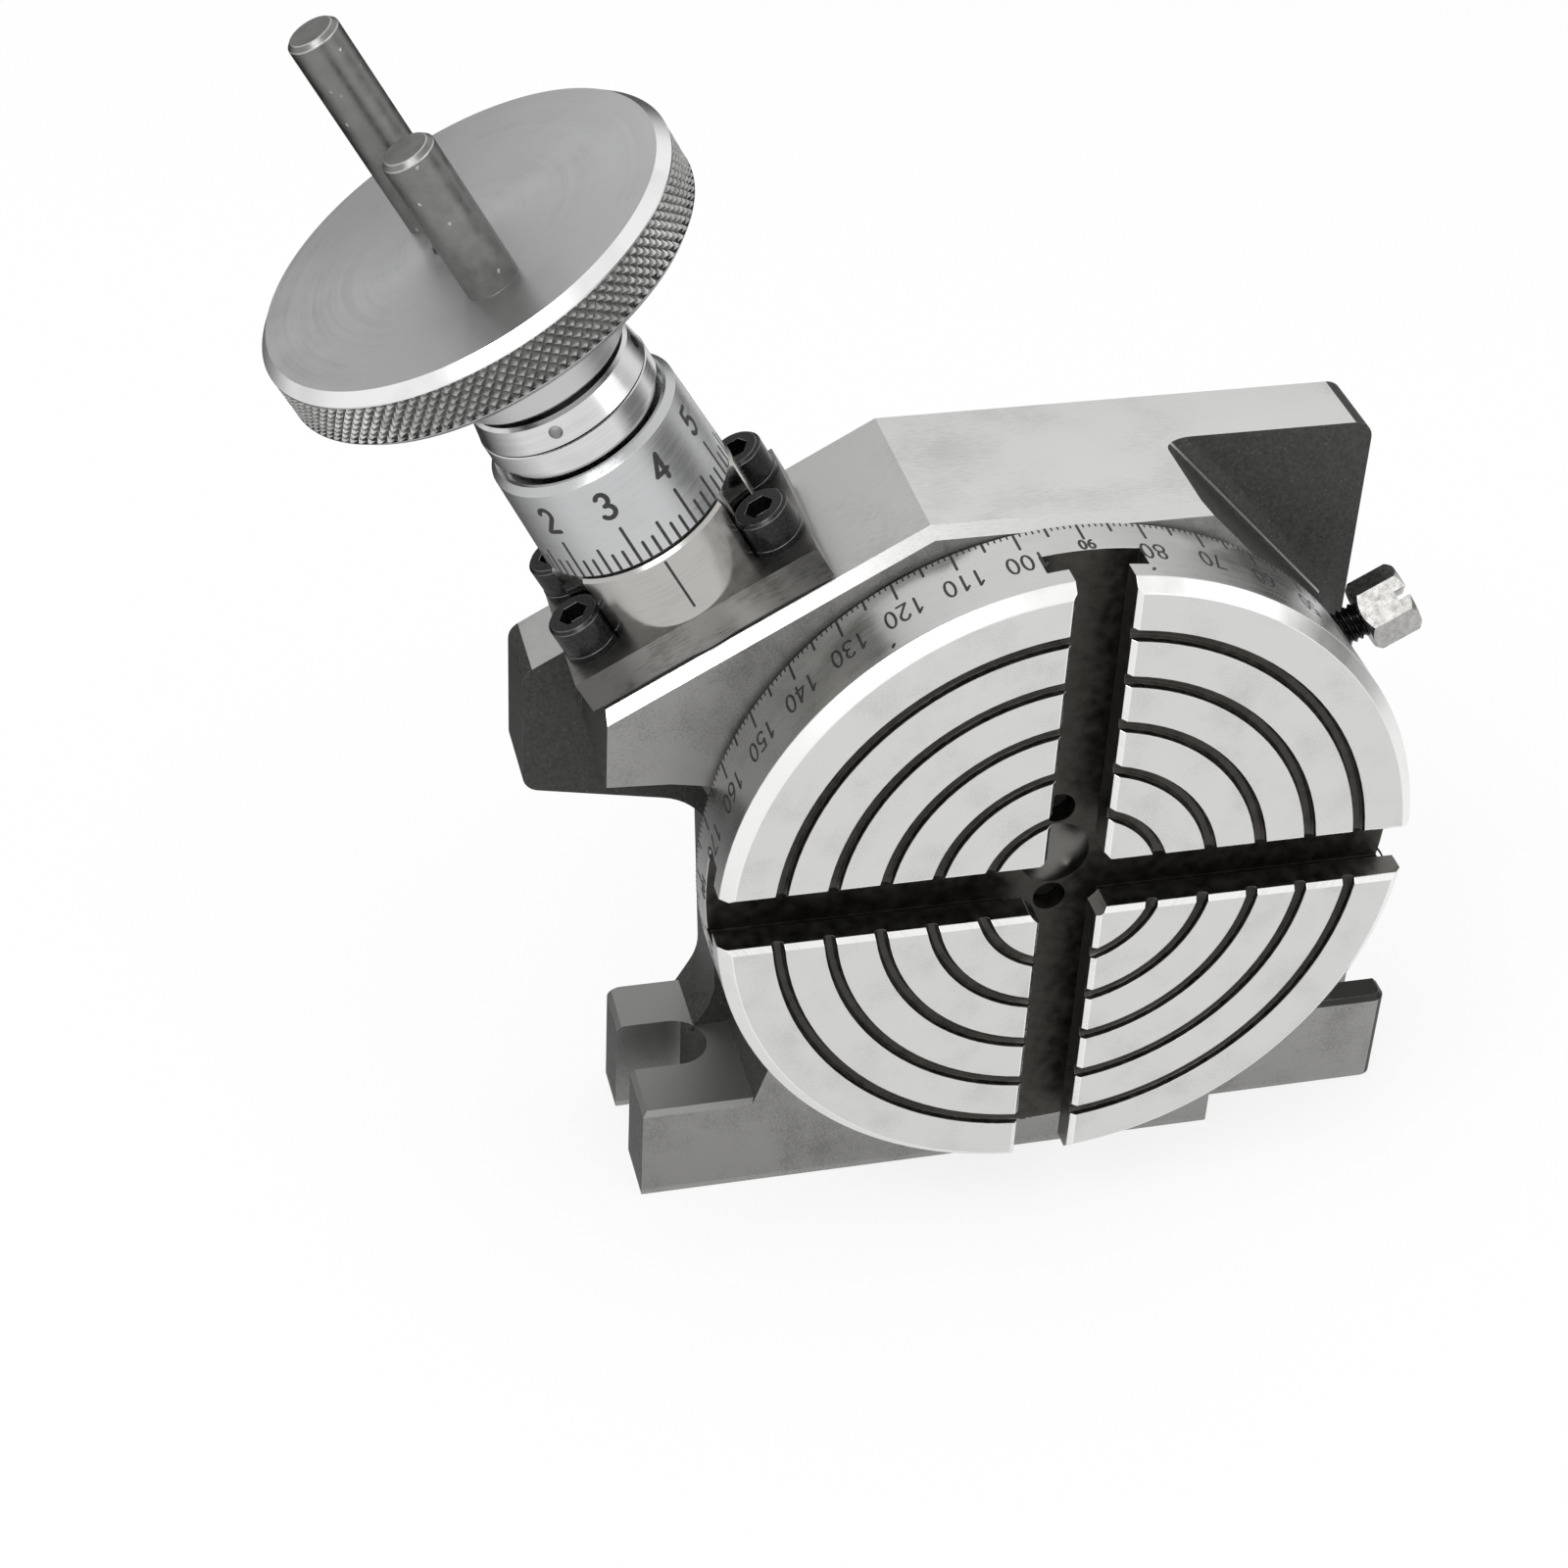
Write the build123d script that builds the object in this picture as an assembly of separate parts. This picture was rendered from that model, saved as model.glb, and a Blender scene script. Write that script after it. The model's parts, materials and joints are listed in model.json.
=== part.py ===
from build123d import *
import math
import os

# 110 mm horizontal and vertical rotary table, standing on its foot.
# Frame: X to the right along the table's face, Y into the machine, Z up. The origin lies on the
# underside of the foot, below the table's axis, in the plane of the worm. All sizes are in mm.

# Table and its axis
AXIS_HEIGHT = 68.0
TABLE_RADIUS = 55.0
TABLE_THICKNESS = 16.9
TABLE_EDGE_CHAMFER = 1.9
TABLE_REAR_CHAMFER = 0.6
TABLE_GAP = 0.35
SLOT_NECK_WIDTH = 9.0
SLOT_NECK_DEPTH = 5.2
SLOT_HEAD_WIDTH = 15.4
SLOT_HEAD_DEPTH = 4.4
SLOT_EDGE_BEVEL = 0.7
CENTRE_RELIEF_RADIUS = 7.6
GROOVE_COUNT = 5
GROOVE_FIRST_RADIUS = 14.2
GROOVE_PITCH = 7.93
GROOVE_WIDTH = 1.9
GROOVE_DEPTH = 1.5
TAPPED_HOLE_SPACING = 17.0
TAPPED_HOLE_RADIUS = 2.55
TAPPED_HOLE_DEPTH = 12.0

# Casting
BODY_TOP = 55.5
BODY_TOP_RIGHT = 20.3
RIGHT_SLOPE = 46.3
LEFT_END = 68.8
LEFT_END_UNDERSIDE = 15.6
UNDERSIDE_CORNER = 59.0
RIGHT_SHOULDER = 51.0
WAIST_TOP_HALF = 46.0
WAIST_FOOT_HALF = 41.0
WAIST_FILLET = 12.0
RIGHT_WAIST_FILLET = 14.0
SHOULDER_FILLET = 6.0
UNDERSIDE_FILLET = 4.0
UNDERSIDE_DRAFT = 0.6
WAIST_START_DROP = 3.0
FLARE_HEIGHT = 8.0
FLARE_WIDTH = 3.0
FLARE_FILLET = 6.0
PLATE_THICKNESS = 13.0
PLATE_RIGHT = 55.0
PLATE_RIGHT_LOW = 14.0
PLATE_LEFT = 78.0
PLATE_LEFT_LOW = 2.0
PLATE_CORNER = 3.0
PLATE_THROAT_FILLET = 10.0
PLATE_SHOULDER_FILLET = 5.0
PLATE_SHOULDER_DROP = 8.0
PLATE_NECK_DROP = 6.0
PLATE_NECK_OUT = 2.0
PLATE_FLARE_HEIGHT = 6.0
PLATE_FLARE_WIDTH = 4.0
INNER_CORNER_FILLET = 3.5
FRONT_CHAMFER = 1.7
FOOT_HEIGHT = 17.5
FOOT_LEFT = 62.0
FOOT_RIGHT = 69.0
FOOT_STEP = 6.0
FOOT_STEP_AT = 36.0
FOOT_CORNER = 2.5
FOOT_EDGE_CHAMFER = 0.8
CLAMP_SLOT_WIDTH = 11.0
CLAMP_SLOT_DEPTH = 14.0
FRONT_WEB = 10.1
COVER_ROOM = 1.2
WORM_BOSS_RADIUS = 15.8
WORM_BOSS_TOP = 46.0
WORM_BOSS_WALL = 4.0
LOWER_BORE_RELIEF = 3.0

# Worm and worm wheel, one start
MODULE = 1.0
WHEEL_TEETH = 36
WHEEL_WIDTH = 12.4
WORM_PITCH_RADIUS = 9.0
PRESSURE_ANGLE = 20.0
TOOTH_PLAY = 0.10
TOOTH_DEDENDUM = 1.25
TIP_ROOM = 1.5
GAP_CUTTER_RISE = 0.4
FLANK_START = 0.01
WORM_RUN_OUT = 2.0
WORM_TURNS = 6
WORM_TILT = 29.5

# Spindle and what it carries
SPINDLE_FLANGE_RADIUS = 23.0
SPINDLE_FLANGE_THICKNESS = 3.5
SPINDLE_JOURNAL_RADIUS = 15.0
WHEEL_SEAT_RADIUS = 13.0
NUT_SEAT_RADIUS = 12.0
NUT_RADIUS = 18.0
NUT_THICKNESS = 4.6
NUT_NOTCH_WIDTH = 4.0
NUT_NOTCH_DEPTH = 2.0
NUT_NOTCHES = 4
NUT_NOTCH_START = 45.0
SPINDLE_NOSE_AFTER_NUT = 0.5
PLUG_SHANK_RADIUS = 4.0
PLUG_SHANK_LENGTH = 11.0
PLUG_HEAD_RADIUS = 5.6
PLUG_HEAD_RISE = 1.9
KEY_WIDTH = 4.0
KEY_HEIGHT = 4.0
KEY_LENGTH = 10.0
TABLE_SCREW_CIRCLE = 18.2
TABLE_SCREWS = 4
TABLE_SCREW_START = 45.0
TABLE_SCREW_RADIUS = 1.95
TABLE_SCREW_HEAD_RADIUS = 3.7
TABLE_SCREW_LENGTH = 9.0

# Rear cover
COVER_RADIUS = 28.0
COVER_THICKNESS = 3.5
COVER_INSET = 0.5
COVER_SCREW_CIRCLE = 24.0
COVER_SCREWS = 4
COVER_SCREW_START = 0.0
COVER_SCREW_RADIUS = 1.95
COVER_SCREW_HEAD_RADIUS = 3.6
COVER_SCREW_LENGTH = 6.0

# Worm housing on the slanted face, measured along the worm's axis from the mesh point
SLANT_FACE = 58.8
FLANGE_THICKNESS = 7.0
FLANGE_LENGTH = 40.4
FLANGE_DEPTH = 25.6
FLANGE_CHAMFER = 1.4
FLANGE_SCREW_X = 15.6
FLANGE_SCREW_Y = 8.3
HOUSING_BOSS_RADIUS = 15.7
HOUSING_BOSS_HEIGHT = 11.8
SLEEVE_RADIUS = 11.0
SLEEVE_LOWER_END = 19.0
BUSH_WALL = 2.0
UPPER_BUSH_LENGTH = 16.0
MIDDLE_BUSH_LENGTH = 14.0
LOWER_BUSH_LENGTH = 12.0
SCREW_RADIUS = 2.45
SCREW_HOLE_RADIUS = 2.75
SCREW_HEAD_RADIUS = 4.25
SCREW_HEAD_HEIGHT = 5.0
SCREW_SOCKET_FLATS = 4.0
SCREW_SOCKET_DEPTH = 2.6
SCREW_LENGTH = 16.0
SCREW_SCALLOP_CLEARANCE = 0.35
WASHER_RADIUS = 4.4
WASHER_THICKNESS = 1.2

# Worm shaft
SHAFT_RADIUS = 6.0
LOWER_JOURNAL_RADIUS = 5.0
LOWER_JOURNAL_LENGTH = 13.0
SHAFT_END_RADIUS = 4.0
SHAFT_SHOULDER = 109.0
THRUST_WASHER_RADIUS = 9.4
THRUST_WASHER_THICKNESS = 2.0
THREAD_ROOT_SINK = 0.3
SHAFT_END_SUNK = 0.2

# Dial and its lock
DIAL_START = 78.3
DIAL_LENGTH = 16.5
DIAL_LOW_RADIUS = 15.5
DIAL_TOP_RADIUS = 14.9
DIAL_BEVEL = 1.0
DIAL_BORE_RADIUS = 12.0
DIAL_RECESS_DEPTH = 1.6
DIAL_RECESS_RADIUS = 13.4
HUB_FLANGE_RADIUS = 13.7
HUB_FLANGE_THICKNESS = 1.8
HUB_THREAD_RADIUS = 10.0
HUB_TOP = 104.4
PRESSURE_RING_RADIUS = 13.5
PRESSURE_RING_NECK_RADIUS = 12.7
PRESSURE_RING_NECK_HEIGHT = 1.9
PRESSURE_RING_HEIGHT = 5.2
LOCK_NUT_LOW_RADIUS = 13.4
LOCK_NUT_TOP_RADIUS = 12.7
LOCK_NUT_HEIGHT = 4.5
LOCK_NUT_HOLE_RADIUS = 1.0
LOCK_NUT_HOLE_DEPTH = 2.2
LOCK_NUT_HOLES = 4
LOCK_NUT_HOLE_START = -100.0
HUB_PIN_RADIUS = 1.5
HUB_PIN_PLACE = 101.5

# Handwheel
WHEEL_HUB_START = 106.0
WHEEL_HUB_RADIUS = 13.3
WHEEL_RADIUS = 32.0
WHEEL_FACE = 129.3
WHEEL_RIM_THICKNESS = 9.2
WHEEL_FACE_CHAMFER = 1.5
WHEEL_UNDER_CHAMFER = 0.9
WHEEL_UNDERCUT = 2.0
WHEEL_RIM_WALL = 5.0
WHEEL_HUB_FLARE = 1.5
FINGER_PIN_RADIUS = 3.9
FINGER_PIN_SPIGOT_RADIUS = 3.0
FINGER_PIN_SPIGOT_LENGTH = 5.5
FINGER_PIN_CHAMFER = 0.7
LONG_PIN_LENGTH = 32.0
LONG_PIN_PLACE = (-2.4, 8.8)
SHORT_PIN_LENGTH = 22.5
SHORT_PIN_PLACE = (2.4, -16.0)
SET_SCREW_RADIUS = 2.0
SET_SCREW_LENGTH = 7.0
SET_SCREW_PLACE = 112.0

# Table lock
LOCK_ANGLE = 29.0
LOCK_SCREW_RADIUS = 3.0
LOCK_SCREW_INSIDE = 12.0
LOCK_SCREW_EXPOSED = 4.0
LOCK_HEAD_FLATS = 10.0
LOCK_HEAD_LENGTH = 8.0
LOCK_HEAD_CHAMFER = 0.8
LOCK_HEAD_SLOT_WIDTH = 1.5
LOCK_HEAD_SLOT_DEPTH = 2.0
LOCK_HEAD_TURN = -46.0
LOCK_TRAVEL = 1.0
LOCK_PLACE = 6.0

# Clearances, broken edges, room under a screw's end, and how far a cutter or a root overlaps
RUNNING_FIT = 0.04
SEAT_FIT = 0.02
END_PLAY = 0.2
BROKEN_EDGE = 0.5
FINE_EDGE = 0.15
SCREW_ROOM = 0.5
HEAD_LAND = 0.3
TAPPED_ROOM = 1.5
OVERLAP = 1.0
SAME_PLANE = 0.01

# Places that follow
WHEEL_FRONT = -WHEEL_WIDTH / 2
WHEEL_BACK = WHEEL_WIDTH / 2
NUT_BACK = WHEEL_BACK + NUT_THICKNESS
SPINDLE_END = NUT_BACK + SPINDLE_NOSE_AFTER_NUT
WEB_BACK = WHEEL_FRONT - END_PLAY
FRONT = WEB_BACK - FRONT_WEB
COVER_FRONT = SPINDLE_END + COVER_ROOM
COVER_BACK = COVER_FRONT + COVER_THICKNESS
BACK = COVER_BACK + COVER_INSET
PLATE_FRONT = BACK - PLATE_THICKNESS
TABLE_REAR = FRONT - TABLE_GAP
TABLE_FACE = TABLE_REAR - TABLE_THICKNESS
SLOT_FLOOR = TABLE_FACE + SLOT_NECK_DEPTH + SLOT_HEAD_DEPTH
WHEEL_PITCH_RADIUS = MODULE * WHEEL_TEETH / 2
WHEEL_TIP_RADIUS = WHEEL_PITCH_RADIUS + MODULE
CENTRE_DISTANCE = WHEEL_PITCH_RADIUS + WORM_PITCH_RADIUS
WORM_TIP_RADIUS = WORM_PITCH_RADIUS + MODULE
WORM_ROOT_RADIUS = WORM_PITCH_RADIUS - TOOTH_DEDENDUM * MODULE
WORM_PITCH = math.pi * MODULE
WORM_LENGTH = WORM_TURNS * WORM_PITCH
WHEEL_CAVITY_RADIUS = WHEEL_TIP_RADIUS + TIP_ROOM * MODULE
FLANGE_TOP = SLANT_FACE + FLANGE_THICKNESS
BOSS_TOP = FLANGE_TOP + HOUSING_BOSS_HEIGHT
BUSH_RADIUS = SHAFT_RADIUS + BUSH_WALL
LOWER_BUSH_RADIUS = LOWER_JOURNAL_RADIUS + BUSH_WALL
LOWER_SHOULDER = -WORM_LENGTH / 2 - WORM_RUN_OUT * MODULE
LOWER_BUSH_TOP = LOWER_SHOULDER - END_PLAY
LOWER_BORE_END = LOWER_BUSH_TOP - LOWER_BUSH_LENGTH - LOWER_BORE_RELIEF
THRUST_WASHER_TOP = SLEEVE_LOWER_END - END_PLAY / 2
THRUST_WASHER_BOTTOM = THRUST_WASHER_TOP - THRUST_WASHER_THICKNESS
UPPER_SHOULDER = THRUST_WASHER_BOTTOM - END_PLAY / 2
HUB_START = BOSS_TOP + END_PLAY
DIAL_TOP = DIAL_START + DIAL_LENGTH
PRESSURE_RING_START = DIAL_TOP - DIAL_RECESS_DEPTH + END_PLAY / 2
PRESSURE_RING_TOP = PRESSURE_RING_START + PRESSURE_RING_HEIGHT + DIAL_RECESS_DEPTH
WHEEL_RIM_START = WHEEL_FACE - WHEEL_RIM_THICKNESS
TILT_SIN = math.sin(math.radians(WORM_TILT))
TILT_COS = math.cos(math.radians(WORM_TILT))
LOCK_Y = FRONT + LOCK_PLACE
SLANT_LEFT = (BODY_TOP * TILT_COS - SLANT_FACE) / TILT_SIN

# Planes: the table's axis, the worm's axis and the lock screw's axis
TABLE_PLANE = Plane(origin=(0, 0, AXIS_HEIGHT), x_dir=(1, 0, 0), z_dir=(0, 1, 0))
WORM_PLANE = Plane(
    origin=(-CENTRE_DISTANCE * TILT_COS, 0, AXIS_HEIGHT - CENTRE_DISTANCE * TILT_SIN),
    x_dir=(TILT_COS, 0, TILT_SIN),
    z_dir=(-TILT_SIN, 0, TILT_COS),
)
LOCK_DIRECTION = (math.cos(math.radians(LOCK_ANGLE)), 0, math.sin(math.radians(LOCK_ANGLE)))
LOCK_PLANE = Plane(origin=(0, LOCK_Y, AXIS_HEIGHT), x_dir=(0, 1, 0), z_dir=LOCK_DIRECTION)


def turned(plane, outline):
    """A body of revolution about the plane's Z axis, from (radius, height) corners."""
    profile = make_face(Polyline(*[(radius, 0, height) for radius, height in outline], close=True).edges())
    return plane * revolve(profile, Axis.Z)


def rod(plane, radius, low, high, at=(0, 0)):
    """A plain cylinder along the plane's Z axis."""
    base = Pos(at[0], at[1], low) * Circle(radius)
    return plane * extrude(base, high - low)


def front_outline(corners):
    """A closed outline in the XZ plane, from (x, height over the axis, fillet radius) corners."""
    sketch = make_face(Polyline(*[(x, z) for x, z, radius in corners], close=True).edges())
    for x, z, radius in corners:
        if radius:
            corner = sketch.vertices().sort_by_distance((x, z, 0))[0]
            sketch = fillet(corner, radius)
    return sketch


def slab(sketch, front, back):
    """The outline made solid between two depths."""
    plane = Plane(origin=(0, back, AXIS_HEIGHT), x_dir=(1, 0, 0), z_dir=(0, -1, 0))
    return extrude(plane * sketch, back - front)


def slant_height(x):
    """Height over the axis of the slanted face that carries the worm housing."""
    return (SLANT_FACE + x * TILT_SIN) / TILT_COS


def right_slope_height(x):
    """Height over the axis of the body's right-hand slope."""
    return BODY_TOP - (x - BODY_TOP_RIGHT) * math.tan(math.radians(RIGHT_SLOPE))


def circle_places(radius, count, start):
    """Places evenly spaced on a circle, from a starting angle in degrees."""
    angles = [math.radians(start + 360 * i / count) for i in range(count)]
    return [(radius * math.cos(angle), radius * math.sin(angle)) for angle in angles]


def moved_plane(plane, place, height):
    """The plane shifted to a place and a height of its own."""
    origin = plane.from_local_coords((place[0], place[1], height))
    return Plane(origin=origin, x_dir=plane.x_dir, z_dir=plane.z_dir)


TABLE_SCREW_PLACES = circle_places(TABLE_SCREW_CIRCLE, TABLE_SCREWS, TABLE_SCREW_START)
COVER_SCREW_PLACES = circle_places(COVER_SCREW_CIRCLE, COVER_SCREWS, COVER_SCREW_START)


def body_casting():
    """Grey iron casting: upright body, rear plate with its ear, foot, worm boss and all bores."""
    foot_top = FOOT_HEIGHT - AXIS_HEIGHT
    body = slab(
        front_outline(
            [
                (SLANT_LEFT, BODY_TOP, 0),
                (BODY_TOP_RIGHT, BODY_TOP, 0),
                (RIGHT_SHOULDER, right_slope_height(RIGHT_SHOULDER), SHOULDER_FILLET),
                (WAIST_TOP_HALF, 0, RIGHT_WAIST_FILLET),
                (WAIST_FOOT_HALF, foot_top + FLARE_HEIGHT, FLARE_FILLET),
                (WAIST_FOOT_HALF + FLARE_WIDTH, foot_top - OVERLAP, 0),
                (-WAIST_FOOT_HALF - FLARE_WIDTH, foot_top - OVERLAP, 0),
                (-WAIST_FOOT_HALF, foot_top + FLARE_HEIGHT, FLARE_FILLET),
                (-WAIST_TOP_HALF, LEFT_END_UNDERSIDE - WAIST_START_DROP, WAIST_FILLET),
                (-UNDERSIDE_CORNER, LEFT_END_UNDERSIDE - UNDERSIDE_DRAFT, UNDERSIDE_FILLET),
                (-LEFT_END, LEFT_END_UNDERSIDE, 0),
                (-LEFT_END, slant_height(-LEFT_END), 0),
            ]
        ),
        FRONT,
        BACK,
    )
    plate = slab(
        front_outline(
            [
                (SLANT_LEFT, BODY_TOP, 0),
                (PLATE_RIGHT, BODY_TOP, PLATE_CORNER),
                (PLATE_RIGHT, PLATE_RIGHT_LOW, PLATE_SHOULDER_FILLET),
                (RIGHT_SHOULDER, PLATE_RIGHT_LOW - PLATE_SHOULDER_DROP, PLATE_SHOULDER_FILLET),
                (WAIST_TOP_HALF, foot_top + PLATE_FLARE_HEIGHT, PLATE_THROAT_FILLET),
                (WAIST_TOP_HALF + PLATE_FLARE_WIDTH, foot_top - OVERLAP, 0),
                (-WAIST_TOP_HALF - PLATE_FLARE_WIDTH, foot_top - OVERLAP, 0),
                (-WAIST_TOP_HALF, foot_top + PLATE_FLARE_HEIGHT, PLATE_THROAT_FILLET),
                (-WAIST_TOP_HALF - PLATE_NECK_OUT, PLATE_LEFT_LOW - PLATE_NECK_DROP, PLATE_THROAT_FILLET),
                (-PLATE_LEFT, PLATE_LEFT_LOW, PLATE_CORNER),
                (-PLATE_LEFT, slant_height(-PLATE_LEFT), PLATE_CORNER),
            ]
        ),
        PLATE_FRONT,
        BACK,
    )
    casting = body + plate
    slope_middle = (BODY_TOP_RIGHT + RIGHT_SHOULDER) / 2
    inner_corner = casting.edges().sort_by_distance(
        (slope_middle, PLATE_FRONT, AXIS_HEIGHT + right_slope_height(slope_middle))
    )[0]
    casting = fillet(inner_corner, INNER_CORNER_FILLET)
    casting += foot()
    casting += rod(WORM_PLANE, WORM_BOSS_RADIUS, LOWER_BORE_END - WORM_BOSS_WALL, WORM_BOSS_TOP)

    front_edges = casting.edges().filter_by_position(Axis.Y, FRONT - SAME_PLANE, FRONT + SAME_PLANE)
    top_edge = front_edges.sort_by_distance((0, FRONT, AXIS_HEIGHT + BODY_TOP))[0]
    slant_x = (SLANT_LEFT - LEFT_END) / 2
    slant_edge = front_edges.sort_by_distance((slant_x, FRONT, AXIS_HEIGHT + slant_height(slant_x)))[0]
    casting = chamfer([top_edge, slant_edge], FRONT_CHAMFER)

    casting -= rod(TABLE_PLANE, SPINDLE_JOURNAL_RADIUS + RUNNING_FIT, FRONT - OVERLAP, BACK + OVERLAP)
    casting -= rod(TABLE_PLANE, WHEEL_CAVITY_RADIUS, WEB_BACK, BACK + OVERLAP)
    casting -= rod(TABLE_PLANE, COVER_RADIUS + SEAT_FIT, COVER_FRONT, BACK + OVERLAP)
    casting -= rod(WORM_PLANE, SLEEVE_RADIUS + SEAT_FIT, LOWER_SHOULDER, FLANGE_TOP)
    casting -= rod(WORM_PLANE, LOWER_BUSH_RADIUS + SEAT_FIT, LOWER_BORE_END, LOWER_SHOULDER + OVERLAP)
    lock_bore_end = lock_slope_distance() + LOCK_SCREW_EXPOSED
    casting -= rod(LOCK_PLANE, LOCK_SCREW_RADIUS, SPINDLE_JOURNAL_RADIUS - OVERLAP, lock_bore_end)
    for x in (-FLANGE_SCREW_X, FLANGE_SCREW_X):
        for y in (-FLANGE_SCREW_Y, FLANGE_SCREW_Y):
            depth = SCREW_LENGTH - FLANGE_THICKNESS - WASHER_THICKNESS + TAPPED_ROOM
            casting -= rod(WORM_PLANE, SCREW_RADIUS + SEAT_FIT, SLANT_FACE - depth, FLANGE_TOP, (x, y))
    for place in COVER_SCREW_PLACES:
        low = COVER_BACK - COVER_SCREW_LENGTH - SCREW_ROOM
        casting -= rod(TABLE_PLANE, COVER_SCREW_RADIUS + SEAT_FIT, low, BACK + OVERLAP, place)
    return casting


def foot():
    """The foot: a long pad with a set-back right end and an open clamping slot at each end."""
    plan = make_face(
        Polyline(
            (-FOOT_LEFT, FRONT),
            (FOOT_STEP_AT, FRONT),
            (FOOT_STEP_AT, FRONT + FOOT_STEP),
            (FOOT_RIGHT, FRONT + FOOT_STEP),
            (FOOT_RIGHT, BACK),
            (-FOOT_LEFT, BACK),
            close=True,
        ).edges()
    )
    corners = plan.vertices().filter_by_position(Axis.Y, FRONT + FOOT_STEP - 0.1, BACK + 0.1)
    plan = fillet(corners, FOOT_CORNER)
    pad = extrude(plan, FOOT_HEIGHT)
    upper = pad.faces().sort_by(Axis.Z)[-1].edges()
    pad = chamfer(upper, FOOT_EDGE_CHAMFER)
    half = CLAMP_SLOT_WIDTH / 2
    for end, side in ((-FOOT_LEFT, 1), (FOOT_RIGHT, -1)):
        centre = end + side * (CLAMP_SLOT_DEPTH - half)
        slot = Pos(centre, 0, 0) * Circle(half)
        slot += Pos((centre + end - side * half) / 2, 0, 0) * Rectangle(abs(centre - end) + half, 2 * half)
        pad -= extrude(slot, FOOT_HEIGHT)
    return pad


def table_disc():
    """Table: T slots in a cross, concentric grooves, relieved centre and a recess for the spindle."""
    front = TABLE_FACE
    disc = turned(
        TABLE_PLANE,
        [
            (0, front),
            (TABLE_RADIUS - TABLE_EDGE_CHAMFER, front),
            (TABLE_RADIUS, front + TABLE_EDGE_CHAMFER),
            (TABLE_RADIUS, TABLE_REAR - TABLE_REAR_CHAMFER),
            (TABLE_RADIUS - TABLE_REAR_CHAMFER, TABLE_REAR),
            (SPINDLE_FLANGE_RADIUS + SEAT_FIT, TABLE_REAR),
            (SPINDLE_FLANGE_RADIUS + SEAT_FIT, TABLE_REAR - SPINDLE_FLANGE_THICKNESS),
            (0, TABLE_REAR - SPINDLE_FLANGE_THICKNESS),
        ],
    )
    for i in range(GROOVE_COUNT):
        radius = GROOVE_FIRST_RADIUS + i * GROOVE_PITCH
        half = GROOVE_WIDTH / 2
        disc -= turned(
            TABLE_PLANE,
            [
                (radius - half, front - OVERLAP),
                (radius + half, front - OVERLAP),
                (radius + half, front + GROOVE_DEPTH - half / 2),
                (radius + half / 2, front + GROOVE_DEPTH),
                (radius - half / 2, front + GROOVE_DEPTH),
                (radius - half, front + GROOVE_DEPTH - half / 2),
            ],
        )
    for turn in (0, 90):
        disc -= slot_cutter(turn)
    disc -= rod(TABLE_PLANE, CENTRE_RELIEF_RADIUS, front - OVERLAP, SLOT_FLOOR)
    disc -= rod(TABLE_PLANE, PLUG_SHANK_RADIUS + SEAT_FIT, front - OVERLAP, TABLE_REAR)
    for z in (-TAPPED_HOLE_SPACING / 2, TAPPED_HOLE_SPACING / 2):
        disc -= rod(TABLE_PLANE, TAPPED_HOLE_RADIUS, front, TABLE_REAR, (0, z))
    for place in TABLE_SCREW_PLACES:
        low = TABLE_REAR - TABLE_SCREW_LENGTH - SCREW_ROOM
        disc -= rod(TABLE_PLANE, TABLE_SCREW_RADIUS + SEAT_FIT, low, TABLE_REAR, place)
    return disc


def slot_cutter(turn):
    """A T slot right across the table, with bevelled upper edges."""
    neck = SLOT_NECK_WIDTH / 2
    head = SLOT_HEAD_WIDTH / 2
    under = SLOT_NECK_DEPTH
    floor = SLOT_NECK_DEPTH + SLOT_HEAD_DEPTH
    profile = make_face(
        Polyline(
            (-neck - SLOT_EDGE_BEVEL - OVERLAP, -OVERLAP),
            (neck + SLOT_EDGE_BEVEL + OVERLAP, -OVERLAP),
            (neck, SLOT_EDGE_BEVEL),
            (neck, under),
            (head, under),
            (head, floor),
            (-head, floor),
            (-head, under),
            (-neck, under),
            (-neck, SLOT_EDGE_BEVEL),
            close=True,
        ).edges()
    )
    across = Plane(origin=(0, TABLE_FACE, 0), x_dir=(1, 0, 0), z_dir=(0, 0, 1))
    bar = extrude(across * profile, TABLE_RADIUS + OVERLAP, both=True)
    return Pos(0, 0, AXIS_HEIGHT) * Rot(0, turn, 0) * bar


def countersunk_screws(radius, head_radius, length, top, places):
    """Countersunk screws along the table's axis, with their flat heads at the height top."""
    outline = [
        (0, 0),
        (head_radius, 0),
        (head_radius, -HEAD_LAND),
        (radius, -HEAD_LAND - head_radius + radius),
        (radius, -length),
        (0, -length),
    ]
    return [turned(moved_plane(TABLE_PLANE, place, top), outline) for place in places]


def table_screws():
    """Screws that hold the spindle's flange to the table."""
    return countersunk_screws(
        TABLE_SCREW_RADIUS,
        TABLE_SCREW_HEAD_RADIUS,
        TABLE_SCREW_LENGTH,
        TABLE_REAR,
        TABLE_SCREW_PLACES,
    )


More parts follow.
